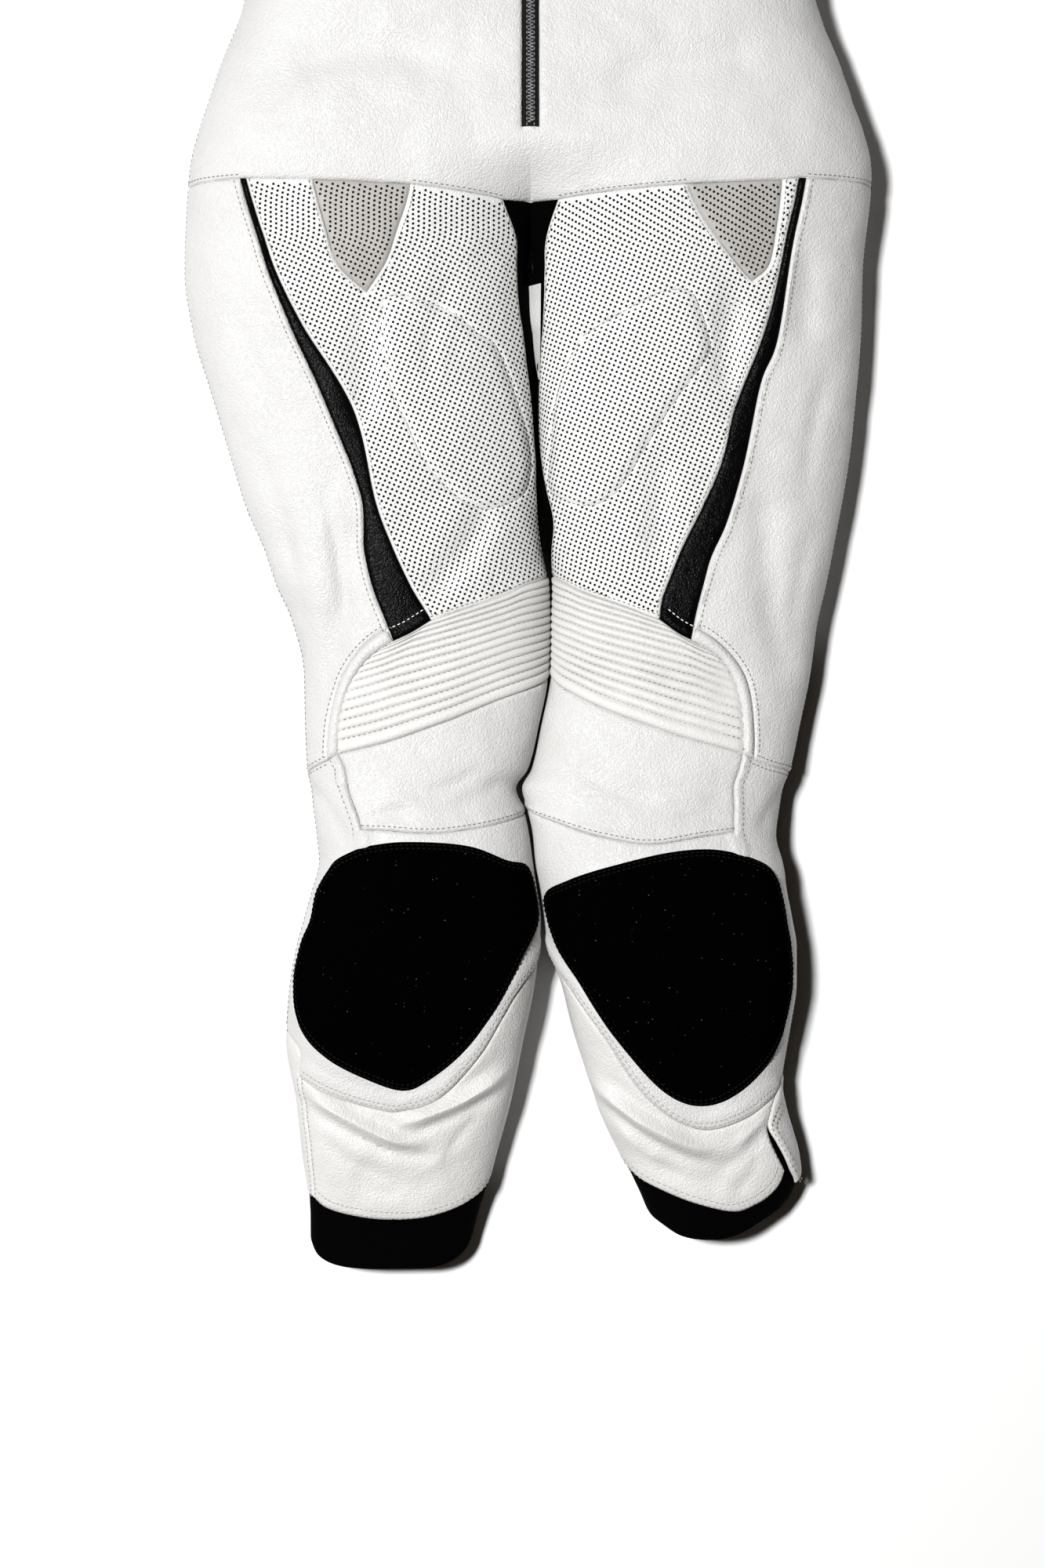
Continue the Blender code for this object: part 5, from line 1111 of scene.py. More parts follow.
def cut_piece(cloth: ClothMap, loop: Array, step: float, reach: float,
              guides: Sequence[Array] = ()) -> Cut:
    """Cuts a piece out of the cloth along an outline.

    Args:
        cloth: The cloth of one form.
        loop: The outline, as (around, down) rows.
        step: The distance between the piece's points.
        reach: How far in from the rim its points lie closer, in mm.
        guides: Paths that its points follow, as (around, down) rows.

    Returns:
        The cut piece.
    """
    rim = closed(loop)

    def within(points: Array, clear: float) -> Array:
        """Keeps the points that lie inside the outline and clear of it."""
        points = points[inside_outline(points, loop)]
        return points[path_gap(points, rim)[0] > clear]

    rows = [loop]
    for share in (0.4, 1.0):
        rows.append(within(beside(rim, inwards(loop, reach * share))[:-1], reach * share * 0.9))
    grid = within(staggered(loop.min(axis=0), loop.max(axis=0), step), reach + 0.5 * step)
    followed: list[Array] = []
    for guide in guides:
        near = within(guide, reach + 0.4 * step)
        for other in followed:
            near = spread_from(near, other, 1.3)
        grid = spread_from(grid, near, 0.62 * step)
        followed.append(near)
    points = np.vstack(rows + [grid] + followed)
    edges = [(k, (k + 1) % len(loop)) for k in range(len(loop))]
    found = delaunay_2d_cdt([Vector(p) for p in points.tolist()], edges, [], 1, 1e-4)
    flat = np.array([tuple(v) for v in found[0]])
    triangles = np.array([tuple(f) for f in found[2]])
    return Cut(flat, cloth.unflat(flat), triangles, path_gap(flat, rim)[0])


# ---- finishes
class NodeBench:
    """Adds nodes to a tree."""

    def __init__(self, tree: bpy.types.NodeTree) -> None:
        """Keeps the tree."""
        self.tree = tree

    def node(self, kind: str, inputs: Optional[dict[str | int, object]] = None,
             **settings: object) -> bpy.types.Node:
        """Adds a node.

        Args:
            kind: Its type.
            inputs: The socket or the value that each of its inputs takes.
            settings: Its properties.

        Returns:
            The node.
        """
        made = self.tree.nodes.new(kind)
        for key, value in settings.items():
            setattr(made, key, value)
        for key, value in (inputs or {}).items():
            if isinstance(value, Socket):
                self.tree.links.new(value, made.inputs[key])
            else:
                made.inputs[key].default_value = value
        return made


class ShaderBench(NodeBench):
    """Builds one material's nodes."""

    def __init__(self, name: str) -> None:
        """Starts a material with its principled shader."""
        self.material = bpy.data.materials.new(name)
        self.material.use_nodes = True
        super().__init__(self.material.node_tree)
        self.shader = self.tree.nodes["Principled BSDF"].inputs

    def set(self, name: str, source: Socket) -> None:
        """Links a socket to one of the shader's inputs."""
        self.tree.links.new(source, self.shader[name])

    def coordinates(self) -> Socket:
        """Gives object coordinates, in metres."""
        return self.node("ShaderNodeTexCoord").outputs["Object"]

    def noise(self, scale: float, detail: float = 2.0, output: str = "Fac") -> Socket:
        """Gives noise on object coordinates."""
        return self.node("ShaderNodeTexNoise", {"Scale": scale, "Detail": detail,
                                                "Vector": self.coordinates()}).outputs[output]

    def spread(self, source: Socket, low: float, high: float, start: float, end: float) -> Socket:
        """Maps a value from start..end to low..high."""
        inputs = {0: source, 1: start, 2: end, 3: low, 4: high}
        return self.node("ShaderNodeMapRange", inputs).outputs["Result"]

    def tones(self, share: Socket, first: Colour, second: Colour) -> Socket:
        """Mixes two colours."""
        inputs = {"Factor": share, "A": (*first, 1.0), "B": (*second, 1.0)}
        return self.node("ShaderNodeMix", inputs, data_type="RGBA").outputs["Result"]

    def bump(self, height: Socket, distance: float, strength: float = 1.0,
             below: Optional[Socket] = None) -> Socket:
        """Adds a bump, on top of another if one is given."""
        inputs = {"Height": height, "Distance": distance, "Strength": strength}
        return self.node("ShaderNodeBump", {**inputs, "Normal": below} if below else inputs
                         ).outputs["Normal"]


@dataclass(frozen=True)
class Recipe:
    """What every finish has."""

    colour: Colour
    shade: Colour  # the colour of its darker patches, its gaps or its specks
    roughness: tuple[float, float]  # its lowest and highest roughness
    gloss: float  # the level of its reflections

    def build(self, name: str) -> bpy.types.Material:
        """Builds the material under a name."""
        bench = ShaderBench(name)
        self.paint(bench)
        bench.shader["Specular IOR Level"].default_value = self.gloss
        return bench.material

    def paint(self, bench: ShaderBench) -> None:
        """Adds the nodes of its own kind."""
        raise NotImplementedError


@dataclass(frozen=True)
class LeatherFinish(Recipe):
    """Grained leather."""

    grain_mm: float  # the size of its pebbles
    depth_mm: float  # how deep the grain is

    def paint(self, bench: ShaderBench) -> None:
        """Mottles its colour, and raises pebbles, pores and broad unevenness."""
        size, depth = self.grain_mm * METRE, self.depth_mm * METRE
        mottle = bench.spread(bench.noise(14.0, 3.0), 0.0, 1.0, 0.42, 0.7)
        bench.set("Base Color", bench.tones(mottle, self.colour, self.shade))
        bench.set("Roughness", bench.spread(bench.noise(60.0, 3.0), *self.roughness, 0.3, 0.7))
        shift = bench.node("ShaderNodeVectorMath",
                           {0: bench.noise(1.0 / (size * 4.0), 2.0, "Color"), 1: (size * 1.6,) * 3,
                            2: bench.coordinates()}, operation="MULTIPLY_ADD")
        pebbles = bench.node("ShaderNodeTexVoronoi",
                             {"Scale": 1.0 / size, "Smoothness": 0.35,
                              "Vector": shift.outputs["Vector"]}, feature="SMOOTH_F1")
        relief = bench.bump(bench.spread(pebbles.outputs["Distance"], 1.0, 0.0, 0.1, 0.75), depth)
        for scale, detail, height in ((2.2 / size, 3.0, depth * 0.5), (380.0, 2.0, depth * 2.0),
                                      (90.0, 2.0, 0.0006)):
            relief = bench.bump(bench.noise(scale, detail), height, 0.6, relief)
        bench.set("Normal", relief)


@dataclass(frozen=True)
class WeaveFinish(Recipe):
    """Woven stretch cloth or tape, with ribs across and threads along."""

    thread_mm: float  # the distance between its threads
    depth_mm: float  # how deep the weave is

    def paint(self, bench: ShaderBench) -> None:
        """Crosses two rows of threads and adds fuzz."""
        waves = [bench.node("ShaderNodeTexWave",
                            {"Scale": 0.314 * share / (self.thread_mm * METRE), "Distortion": 1.2,
                             "Detail": 1.0, "Vector": bench.coordinates()},
                            bands_direction=way).outputs["Fac"]
                 for way, share in (("Y", 1.0), ("X", 0.7))]
        threads = bench.node("ShaderNodeMath", {0: waves[0], 1: waves[1]},
                             operation="MULTIPLY").outputs["Value"]
        bench.set("Base Color", bench.tones(threads, self.shade, self.colour))
        relief = bench.bump(threads, self.depth_mm * METRE, 0.8)
        bench.set("Normal", bench.bump(bench.noise(2600.0), 0.0002, 0.5, relief))
        bench.shader["Roughness"].default_value = self.roughness[0]


@dataclass(frozen=True)
class LoopFinish(Recipe):
    """The loop half of hook-and-loop: a dense pile with a few specks of lint."""

    def paint(self, bench: ShaderBench) -> None:
        """Scatters the lint and raises the pile."""
        cells = bench.node("ShaderNodeTexVoronoi",
                           {"Scale": 300.0, "Vector": bench.coordinates()}, feature="F1").outputs
        chance = bench.node("ShaderNodeSeparateColor", {"Color": cells["Color"]}).outputs["Red"]
        lint = bench.node("ShaderNodeMath",
                          {0: bench.spread(cells["Distance"], 1.0, 0.0, 0.05, 0.15),
                           1: bench.spread(chance, 0.0, 1.0, 0.90, 0.99)}, operation="MULTIPLY")
        bench.set("Base Color", bench.tones(lint.outputs["Value"], self.colour, self.shade))
        pile = bench.bump(bench.noise(1500.0, 3.0), 0.0008, 0.9)
        bench.set("Normal", bench.bump(bench.noise(260.0), 0.0012, 0.4, pile))
        bench.shader["Roughness"].default_value = self.roughness[0]


@dataclass(frozen=True)
class PlainFinish(Recipe):
    """Thread, metal or paint with a little unevenness."""

    metallic: float = 0.0  # 1 for bare metal
    scale: float = 900.0  # how fine its unevenness is

    def paint(self, bench: ShaderBench) -> None:
        """Varies its colour, roughness and height together."""
        uneven = bench.noise(self.scale)
        bench.set("Base Color", bench.tones(uneven, self.colour, self.shade))
        bench.set("Roughness", bench.spread(uneven, *self.roughness, 0.3, 0.7))
        bench.set("Normal", bench.bump(uneven, 0.0001, 0.4))
        bench.shader["Metallic"].default_value = self.metallic


class Finish(Enum):
    """The finishes of the suit, each with the record's slot that it belongs to."""

    WHITE_LEATHER = ("white leather", LeatherFinish(
        (0.562, 0.559, 0.551), (0.527, 0.524, 0.514), (0.42, 0.56), 0.42, 1.6, 0.32))
    WARM_LEATHER = ("white leather", LeatherFinish(
        (0.592, 0.584, 0.572), (0.556, 0.547, 0.533), (0.42, 0.56), 0.42, 1.6, 0.3))
    PUNCHED_LEATHER = ("white leather", LeatherFinish(
        (0.65, 0.65, 0.643), (0.61, 0.61, 0.60), (0.42, 0.56), 0.42, 1.5, 0.3))
    # a lighter copy of the white leather: painted light that offsets the shade in the ribs'
    # valleys
    RIB_LEATHER_PAINTED_LIGHT = ("white leather", LeatherFinish(
        (0.625, 0.62, 0.605), (0.575, 0.57, 0.552), (0.42, 0.55), 0.42, 1.2, 0.2))
    BLACK_LEATHER = ("black leather", LeatherFinish(
        (0.0014, 0.0014, 0.0015), (0.0024, 0.0024, 0.0026), (0.22, 0.32), 0.032, 1.4, 0.2))
    GREY_LEATHER = ("grey leather", LeatherFinish(
        (0.36, 0.345, 0.325), (0.32, 0.305, 0.285), (0.5, 0.6), 0.42, 1.2, 0.15))
    BLACK_STRETCH = ("black stretch", WeaveFinish(
        (0.0013, 0.0013, 0.0014), (0.0004, 0.0004, 0.0004), (0.95, 0.95), 0.02, 0.9, 0.25))
    BLACK_LOOP = ("black loop", LoopFinish(
        (0.0005, 0.0005, 0.0006), (0.16, 0.16, 0.165), (0.97, 0.97), 0.0))
    ZIP_TAPE = ("zip tape", WeaveFinish(
        (0.02, 0.02, 0.021), (0.006, 0.006, 0.006), (0.85, 0.85), 0.02, 0.7, 0.15))
    DARK_METAL = ("dark metal", PlainFinish(
        (0.24, 0.24, 0.25), (0.17, 0.17, 0.18), (0.24, 0.4), 0.5, 1.0, 300.0))
    # thread of its own grey-tan, made darker by painted shade of the stitch holes; the next finish
    # is the same thread with lighter painted shade
    THREAD_DEEP_PAINTED_SHADE = ("white leather", PlainFinish(
        (0.21, 0.195, 0.165), (0.16, 0.147, 0.122), (0.65, 0.8), 0.4))
    THREAD_LIGHT_PAINTED_SHADE = ("white leather", PlainFinish(
        (0.40, 0.385, 0.355), (0.33, 0.315, 0.285), (0.65, 0.8), 0.4))
    WHITE_THREAD = ("white leather", PlainFinish(
        (0.8, 0.8, 0.78), (0.7, 0.7, 0.68), (0.55, 0.7), 0.4))
    BLACK_THREAD = ("black loop", PlainFinish(
        (0.004, 0.004, 0.0043), (0.002, 0.002, 0.002), (0.85, 0.95), 0.15))
    # near-black discs that stand for the punched holes: their dark is painted shade of the holes'
    # insides
    PAINTED_HOLE_SHADE = ("white leather", PlainFinish(
        (0.004, 0.004, 0.004), (0.008, 0.008, 0.007), (0.9, 0.98), 0.0))

    @property
    def slot(self) -> str:
        """The record's material slot."""
        return self.value[0]

    def material(self) -> bpy.types.Material:
        """Gives the finish's material, built once."""
        name = self.name.lower()
        return bpy.data.materials.get(name) or self.value[1].build(name)


def dress(piece: Piece, finish: Finish, *replaced: str) -> Piece:
    """Gives a piece its material, hangs it on the suit and hides the nodes that it stands for.

    Args:
        piece: The piece, which rides on the suit.
        finish: Its finish.
        replaced: The nodes that it replaces.

    Returns:
        The same piece.
    """
    piece.data.materials.clear()
    piece.data.materials.append(finish.material())
    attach(piece, "suit")
    if replaced:
        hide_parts(*replaced)
    LOG.info("%s: %d faces", piece.name, len(piece.data.polygons))
    return piece


def cloth_piece(name: str, top: Array, under: Array, triangles: Array, finish: Finish,
                node: str, flat: Sequence[float]) -> None:
    """Makes and dresses a sheet of cloth, which never reaches below the floor.

    Args:
        name: Its name.
        top: Its outer points, in world mm.
        under: Its inner points, one for each outer point.
        triangles: The sheet's triangles.
        finish: Its finish.
        node: The node that it replaces.
        flat: The two sides of the cloth that it is cut from. Not used.
    """
    points, faces = walled(top, under, triangles)
    points[:, 2] = np.maximum(points[:, 2], 0.0)
    made = dress(add_mesh(name, points, faces), finish, node)


# ---- what repeats
class Repeat(NodeBench):
    """Places a small shape at many spots with one Geometry Nodes tree."""

    made: dict[RepeatShape, "Repeat"] = {}

    @classmethod
    def of(cls, shape: RepeatShape) -> "Repeat":
        """Gives the tree for a shape, built once."""
        if shape not in cls.made:
            cls.made[shape] = cls(shape)
        return cls.made[shape]

    def __init__(self, shape: RepeatShape) -> None:
        """Builds the tree for one shape."""
        name = f"repeat_{shape.name.lower()}"
        super().__init__(bpy.data.node_groups.new(name, "GeometryNodeTree"))
        self.inputs = {name: self.socket(name, kind, "INPUT") for name, kind in
                       (("Geometry", "Geometry"), ("Length", "Float"), ("Width", "Float"),
                        ("Height", "Float"), ("Material", "Material"))}
        self.socket("Geometry", "Geometry", "OUTPUT")
        kind, inputs, settings, smooth = shape.value
        given = self.node("NodeGroupInput").outputs
        size = self.node("ShaderNodeCombineXYZ", {"X": given["Length"], "Y": given["Width"],
                                                  "Z": given["Height"]})
        unit_shape = self.node(f"GeometryNodeMesh{kind}", inputs, **settings)
        sized = self.node("GeometryNodeTransform", {"Geometry": unit_shape.outputs["Mesh"],
                                                    "Scale": size.outputs["Vector"]})
        turned = self.turned("up", {}, axis="Z", pivot_axis="AUTO")
        turned = self.turned("ahead", {"Rotation": turned}, axis="X", pivot_axis="Z")
        copies = self.node("GeometryNodeInstanceOnPoints",
                           {"Points": given["Geometry"], "Instance": sized.outputs["Geometry"],
                            "Rotation": turned})
        real = self.node("GeometryNodeRealizeInstances", {"Geometry": copies.outputs["Instances"]})
        coated = self.node("GeometryNodeSetMaterial", {"Geometry": real.outputs["Geometry"],
                                                       "Material": given["Material"]})
        shaded = self.node("GeometryNodeSetShadeSmooth", {"Geometry": coated.outputs["Geometry"],
                                                          "Shade Smooth": smooth})
        self.node("NodeGroupOutput", {"Geometry": shaded.outputs["Geometry"]})

    def socket(self, name: str, kind: str, way: str) -> str:
        """Adds a socket to the tree's face, and gives its identifier."""
        return self.tree.interface.new_socket(name, in_out=way,
                                              socket_type=f"NodeSocket{kind}").identifier

    def turned(self, name: str, inputs: dict[str, Socket], **settings: str) -> Socket:
        """Turns each copy by the direction that its point holds under a name."""
        read = self.node("GeometryNodeInputNamedAttribute", {"Name": name},
                         data_type="FLOAT_VECTOR").outputs["Attribute"]
        return self.node("FunctionNodeAlignRotationToVector", {**inputs, "Vector": read},
                         **settings).outputs["Rotation"]

    def place(self, name: str, spots: Spots, finish: Finish, size: Sequence[float]) -> Piece:
        """Places the shape at every spot.

        Args:
            name: The new piece's name.
            spots: Where the copies go.
            finish: Their finish.
            size: Length, width and height in mm.

        Returns:
            One piece that holds all the copies.
        """
        rows = np.vstack(spots)
        mesh = bpy.data.meshes.new(name + "_spots")
        mesh.vertices.add(len(rows))
        mesh.vertices.foreach_set("co", (rows[:, :3] * METRE).astype(np.float32).ravel())
        for key, ways in (("up", rows[:, 3:6]), ("ahead", rows[:, 6:])):
            layer = mesh.attributes.new(key, "FLOAT_VECTOR", "POINT")
            layer.data.foreach_set("vector", ways.astype(np.float32).ravel())
        holder = placed(name + "_spots", mesh)
        modifier = holder.modifiers.new("repeat", "NODES")
        modifier.node_group = self.tree
        for key, value in zip(("Length", "Width", "Height"), size):
            modifier[self.inputs[key]] = value * METRE
        modifier[self.inputs["Material"]] = finish.material()
        evaluated = holder.evaluated_get(bpy.context.evaluated_depsgraph_get())
        copied = bpy.data.meshes.new_from_object(evaluated)
        copied.name = name
        made = placed(name, copied)
        bpy.data.objects.remove(holder, do_unlink=True)
        return dress(made, finish)


# ---- the tailor
@dataclass
class PieceStyle:
    """How a piece of cloth is finished, in mm."""

    finish: Finish = Finish.WHITE_LEATHER
    wall: float = 2.0
    edge: Fastening = Fastening.SEAM
    lift: float = 0.0  # how far it stands above the form
    wrinkle: float = FINE_WRINKLE  # the height of its fine wrinkles
    step: float = FRONT_FINE  # the distance between its points
    crown: float = 0.0  # how far its middle domes up across its width, for bands
    # the seams that it rises along, each with the rise and from where to where that fades
    raised: Sequence[tuple[str, float, float, float]] = ()


@dataclass
class Tailor:
    """Cuts, shapes and stitches the pieces of one form."""

    form: Form
    table: dict[str, Pairs]  # the seams on it
    first: float  # the distances down that it covers
    last: float
    spacing: float = 2.8  # the distance between a rim's points
    guide_step: float = 2.4  # the distance between the points that follow a crease
    # how far beside the crease each row of them lies
    guide_rows: Sequence[float] = (-5.6, -3.0, -1.4, 0.0, 1.4, 3.0, 5.6)
    hole_pitch: float = 4.1  # the distance between neighbouring holes
    hole_angle: float = 24.0  # the turn of their lattice, in degrees
    hole_size: Sequence[float] = (2.25, 2.25, 1.0)  # the size of a hole
    hole_lift: float = 0.14  # how far the holes lie above the cloth

    def __post_init__(self) -> None:
        """Measures the form, opens its seam book and lays its guides."""
        self.label = self.form.side.label
        self.seed = 3.7 if self.form.side is Side.RIGHT else 11.3
        self.cloth = ClothMap(self.form, self.first, self.last)
        self.book = SeamBook(self.form, self.cloth, self.table, self.spacing)
        self.guides = [row for line in self.form.sharp_lines() for row in self.follow(line)]

    def follow(self, line: Array) -> list[Array]:
        """Gives rows of points along and beside a line of (across, down) points."""
        turned = self.book.drawn(evenly(through_points(line, 6), self.guide_step), 1)
        flat = evenly(self.cloth.flat(turned), self.guide_step)
        return [beside(flat, offset) for offset in self.guide_rows]

    def surface(self, turned: Array, lift: float | Array = 0.0,
                wrinkle: float = 0.0) -> tuple[Array, Array]:
        """Finds the cloth's outer side.

        Args:
            turned: Rows of (turn, down).
            lift: How far to stand above it, in mm.
            wrinkle: The height of fine wrinkles, in mm.

        Returns:
            Points and normals on the form.
        """
        turn, down = turned.T
        bare = self.form.point(turn, down)
        normal = self.form.outward(turn, down)
        move = self.form.relief(turn, down) + lift
        if wrinkle:
            front = smooth_step(turn, 0.0, 0.3) * fall_off(turn, pi - 0.3, pi)
            waves = (cloth_noise(bare, 34.0, self.seed)
                     + 0.5 * cloth_noise(bare, 15.0, self.seed + 5.0))
            move += waves * wrinkle * front * smooth_step(down, *SMOOTH_SHOULDER)
        return bare + normal * move[:, None], normal

    def make(self, piece: str, loop: Array, style: PieceStyle,
             extra: Optional[Callable[[Cut], Array]] = None, node: str = "") -> None:
        """Cuts and shapes one piece.

        Args:
            piece: The piece's name without its side.
            loop: Its outline, as (around, down) rows.
            style: How it is finished.
            extra: Gives a further move along the normal for the cut's points.
            node: The node that it replaces, if not the one of its name.
        """
        depth, reach = style.edge.value
        cut = cut_piece(self.cloth, loop, style.step, reach, self.guides)
        turn, down = cut.turned.T
        flush = (np.abs(turn) < 0.04) & (np.abs(down + 55.0) < 60.0)   # at the crotch
        flush |= down < SHOULDER_DOWN + 6.0                            # on the shoulder
        near_rim = 1.0 - np.clip(cut.rim_gap / reach, 0.0, 1.0)
        lift = style.lift - np.where(flush, 0.0, depth * near_rim ** 2)
        lift += style.crown * np.sqrt(np.clip(cut.rim_gap / cut.rim_gap.max(), 0.0, 1.0))
        for seam, rise, start, end in style.raised:
            lift += rise * fall_off(path_gap(cut.flat, self.book.run(seam))[0], start, end)
        if extra is not None:
            lift += extra(cut)
        self.finish_piece(piece, cut, lift, style, node)

    def finish_piece(self, piece: str, cut: Cut, lift: Array, style: PieceStyle,
                     node: str = "") -> None:
        """Turns a cut into a walled and dressed piece.

        Args:
            piece: The piece's name without its side.
            cut: The cut.
            lift: The move along the normal for each of its points.
            style: How it is finished.
            node: The node that it replaces, if not the one of its name.
        """
        top, normal = self.surface(cut.turned, lift, style.wrinkle)
        width, length = cut.size()
        self.declare(piece, top, top - normal * style.wall, cut.triangles, style.finish, node,
                     (width, length))

    def declare(self, piece: str, top: Array, under: Array, triangles: Array, finish: Finish,
                node: str, flat: Sequence[float]) -> None:
        """Makes and dresses a piece, as cloth_piece does, from points on the form."""
        cloth_piece(f"{self.label}_{piece}_cloth", self.form.world(top), self.form.world(under),
                    triangles, finish, f"{self.label}_{node or piece}", flat)

    def tube(self, piece: str, top: Array, end: Array, style: PieceStyle, rows: int = 16,
             columns: int = 150) -> None:
        """Makes a tube round the form, open at both ends.

        Args:
            piece: The piece's name without its side.
            top: Its first edge, as (turn, down) rows from turn 0 to 2 pi.
            end: Its last edge, likewise.
            style: How it is finished.
            rows: How many rows of points it has.
            columns: How many points each row has.
        """
        turns = np.linspace(0.0, 2.0 * pi, columns, endpoint=False)
        first, last = (np.interp(turns, *edge.T) for edge in (top, end))
        shares = np.linspace(0.0, 1.0, rows)
        downs = first + (last - first) * shares[:, None]
        turned = np.column_stack([np.tile(turns, rows), downs.ravel()])
        roll = np.repeat(0.9 * (1.0 - np.clip((1.0 - shares) * 12.0, 0.0, 1.0)) ** 2, columns)
        outer, normal = self.surface(turned, style.lift - roll, style.wrinkle)
        round_way = run_lengths(closed(outer[:columns]))[-1]
        self.declare(piece, outer, outer - normal * (style.wall - roll)[:, None],
                     grid_triangles(rows, columns, wrap=True), style.finish, "",
                     ((last - first).max(), round_way))

    def facing(self, points: Array, ups: Array, aheads: Array) -> Array:
        """Gives rows of spots in the world from points and directions on the form."""
        return np.hstack([self.form.world(points), self.form.world_way(ups),
                          self.form.world_way(aheads)])

    def sew(self, spots: Spots, path: Array, offset: float = 0.0, lift: float = STITCH_LIFT,
            trim: float = 2.0) -> None:
        """Adds a row of stitches along a path of (around, down) rows.

        Args:
            spots: Where to add them.
            path: The path.
            offset: How far beside it the row lies, to its left.
            lift: How far above the cloth they lie.
            trim: How much of each end is left bare.
        """
        path = beside(evenly(path, 2.0), offset)
        length = run_lengths(path)[-1]
        if length < 2.0 * trim + STITCH_PITCH:
            return
        marks = np.arange(trim, length - trim, STITCH_PITCH)
        (start, normal), (end, _) = (
            self.surface(self.cloth.unflat(read_path(path, marks + ahead)), lift, FINE_WRINKLE)
            for ahead in (0.0, 0.8))
        spots.append(self.facing(start, normal, end - start))

    def punch(self, spots: Spots, loop: Array, margin: float, lift: float = 0.0) -> None:
        """Adds a square lattice of holes inside an outline, as near-black discs of painted shade.

        Args:
            spots: Where to add them.
            loop: The outline, as (around, down) rows.
            margin: How far they stay from it.
            lift: How far the cloth stands above the form.
        """
        low, high = loop.min(axis=0), loop.max(axis=0)
        reach = np.linalg.norm(high - low) / 2.0
        marks = np.arange(-reach, reach, self.hole_pitch)
        angle = math.radians(self.hole_angle) * self.form.side.value
        ways = np.array([(math.cos(angle), math.sin(angle)), (-math.sin(angle), math.cos(angle))])
        grid = np.array([(a, b) for a in marks for b in marks]) @ ways + (low + high) / 2.0
        grid = grid[inside_outline(grid, loop)]
        grid = grid[path_gap(grid, closed(loop))[0] > margin]
        place, normal = self.surface(self.cloth.unflat(grid), self.hole_lift + lift, FINE_WRINKLE)
        spots.append(self.facing(place, normal, np.cross(normal, (0.0, 1.0, 0.0))))


# ---- one half of the suit
@dataclass
class RibPanel:
    """The accordion panel above the knee: stitched tubes that run across the leg."""

    tailor: Tailor  # the tailor of its leg
    count: int = 13  # how many ribs it has
    last: float = 1.4  # the lowest rib's width, in the others' widths
    rise: float = 2.5  # how far a rib stands up
    valley: float = 0.5  # how far the valleys lie below the form
    fade: float = 0.62  # how much of the rise is left at the curved end
    rows: int = 8  # rows of points across one rib
    columns: int = 64  # points in each row
    wrap: int = 6  # further points on the part under the leg

    def __post_init__(self) -> None:
        """Lays out the rows of points across every rib."""
        book = self.tailor.book
        widths = np.r_[np.ones(self.count - 1), self.last]
        widths /= widths.sum()
        starts = np.r_[0.0, np.cumsum(widths)[:-1]]
        steps = np.arange(self.rows) / self.rows
        shares = np.r_[(starts[:, None] + widths[:, None] * steps).ravel(), 1.0]
        across = np.linspace(0.0, 1.0, self.columns)
        top = np.vstack([book.run("stripe_end")[::-1], book.run("rib_top")[1:]])
        top, bottom = at_shares(top, across), at_shares(book.run("rib_bottom"), across)
        level = mix(top[-1, 1], bottom[-1, 1], shares)
        sides = at_shares(book.run("rib_curve"), shares), np.column_stack([level * 0.0, level])
        v, a = shares[:, None, None], across[None, :, None]
        corners = mix(mix(top[0], bottom[0], v), mix(top[-1], bottom[-1], v), a)
        grid = mix(*(side[:, None] for side in sides), a) + mix(top, bottom, v) - corners
        under = [self.tailor.cloth.flat(np.column_stack([np.full(len(level), turn), level]))
                 for turn in np.linspace(0.0, INNER_WRAP, self.wrap + 1)[1:]]
        self.grid = np.hstack([grid] + [rows[:, None] for rows in under])
        self.across = np.r_[across, np.ones(self.wrap)]
        self.round = np.r_[np.tile(steps, self.count), 0.0]

    def build(self, stitches: Spots) -> None:
        """Makes the panel, and sews its valleys with stitches."""
        grid = self.grid
        flat = grid.reshape(-1, 2)
        rim = np.vstack([grid[0], grid[1:, -1], grid[-1, ::-1][1:], grid[::-1, 0][1:]])
        gap, _ = path_gap(flat, rim)
        cut = Cut(flat, self.tailor.cloth.unflat(flat), grid_triangles(*grid.shape[:2]), gap)
        swell = (1.0 - (2.0 * self.round - 1.0) ** 2) ** 0.6
        ease = mix(self.fade, 1.0, smooth_step(self.across, 0.0, 0.16))
        ease *= 1.0 - 0.35 * smooth_step(self.across, 0.93, 1.0)
        uneven = 1.0 + 0.12 * cloth_noise(np.column_stack([flat, flat[:, :1] * 0.0]), 26.0, 4.4)
        lift = (swell[:, None] * ease).ravel() * self.rise * uneven - self.valley
        lift -= 1.2 * (1.0 - np.clip(gap / 2.0, 0.0, 1.0)) ** 2
        self.tailor.finish_piece("rib_panel", cut, lift,
                                 PieceStyle(Finish.RIB_LEATHER_PAINTED_LIGHT, wall=1.4, wrinkle=0.2))
        for row in grid[self.rows:-1:self.rows, :-self.wrap]:
            self.tailor.sew(stitches, row, lift=0.1 - self.valley, trim=5.0)


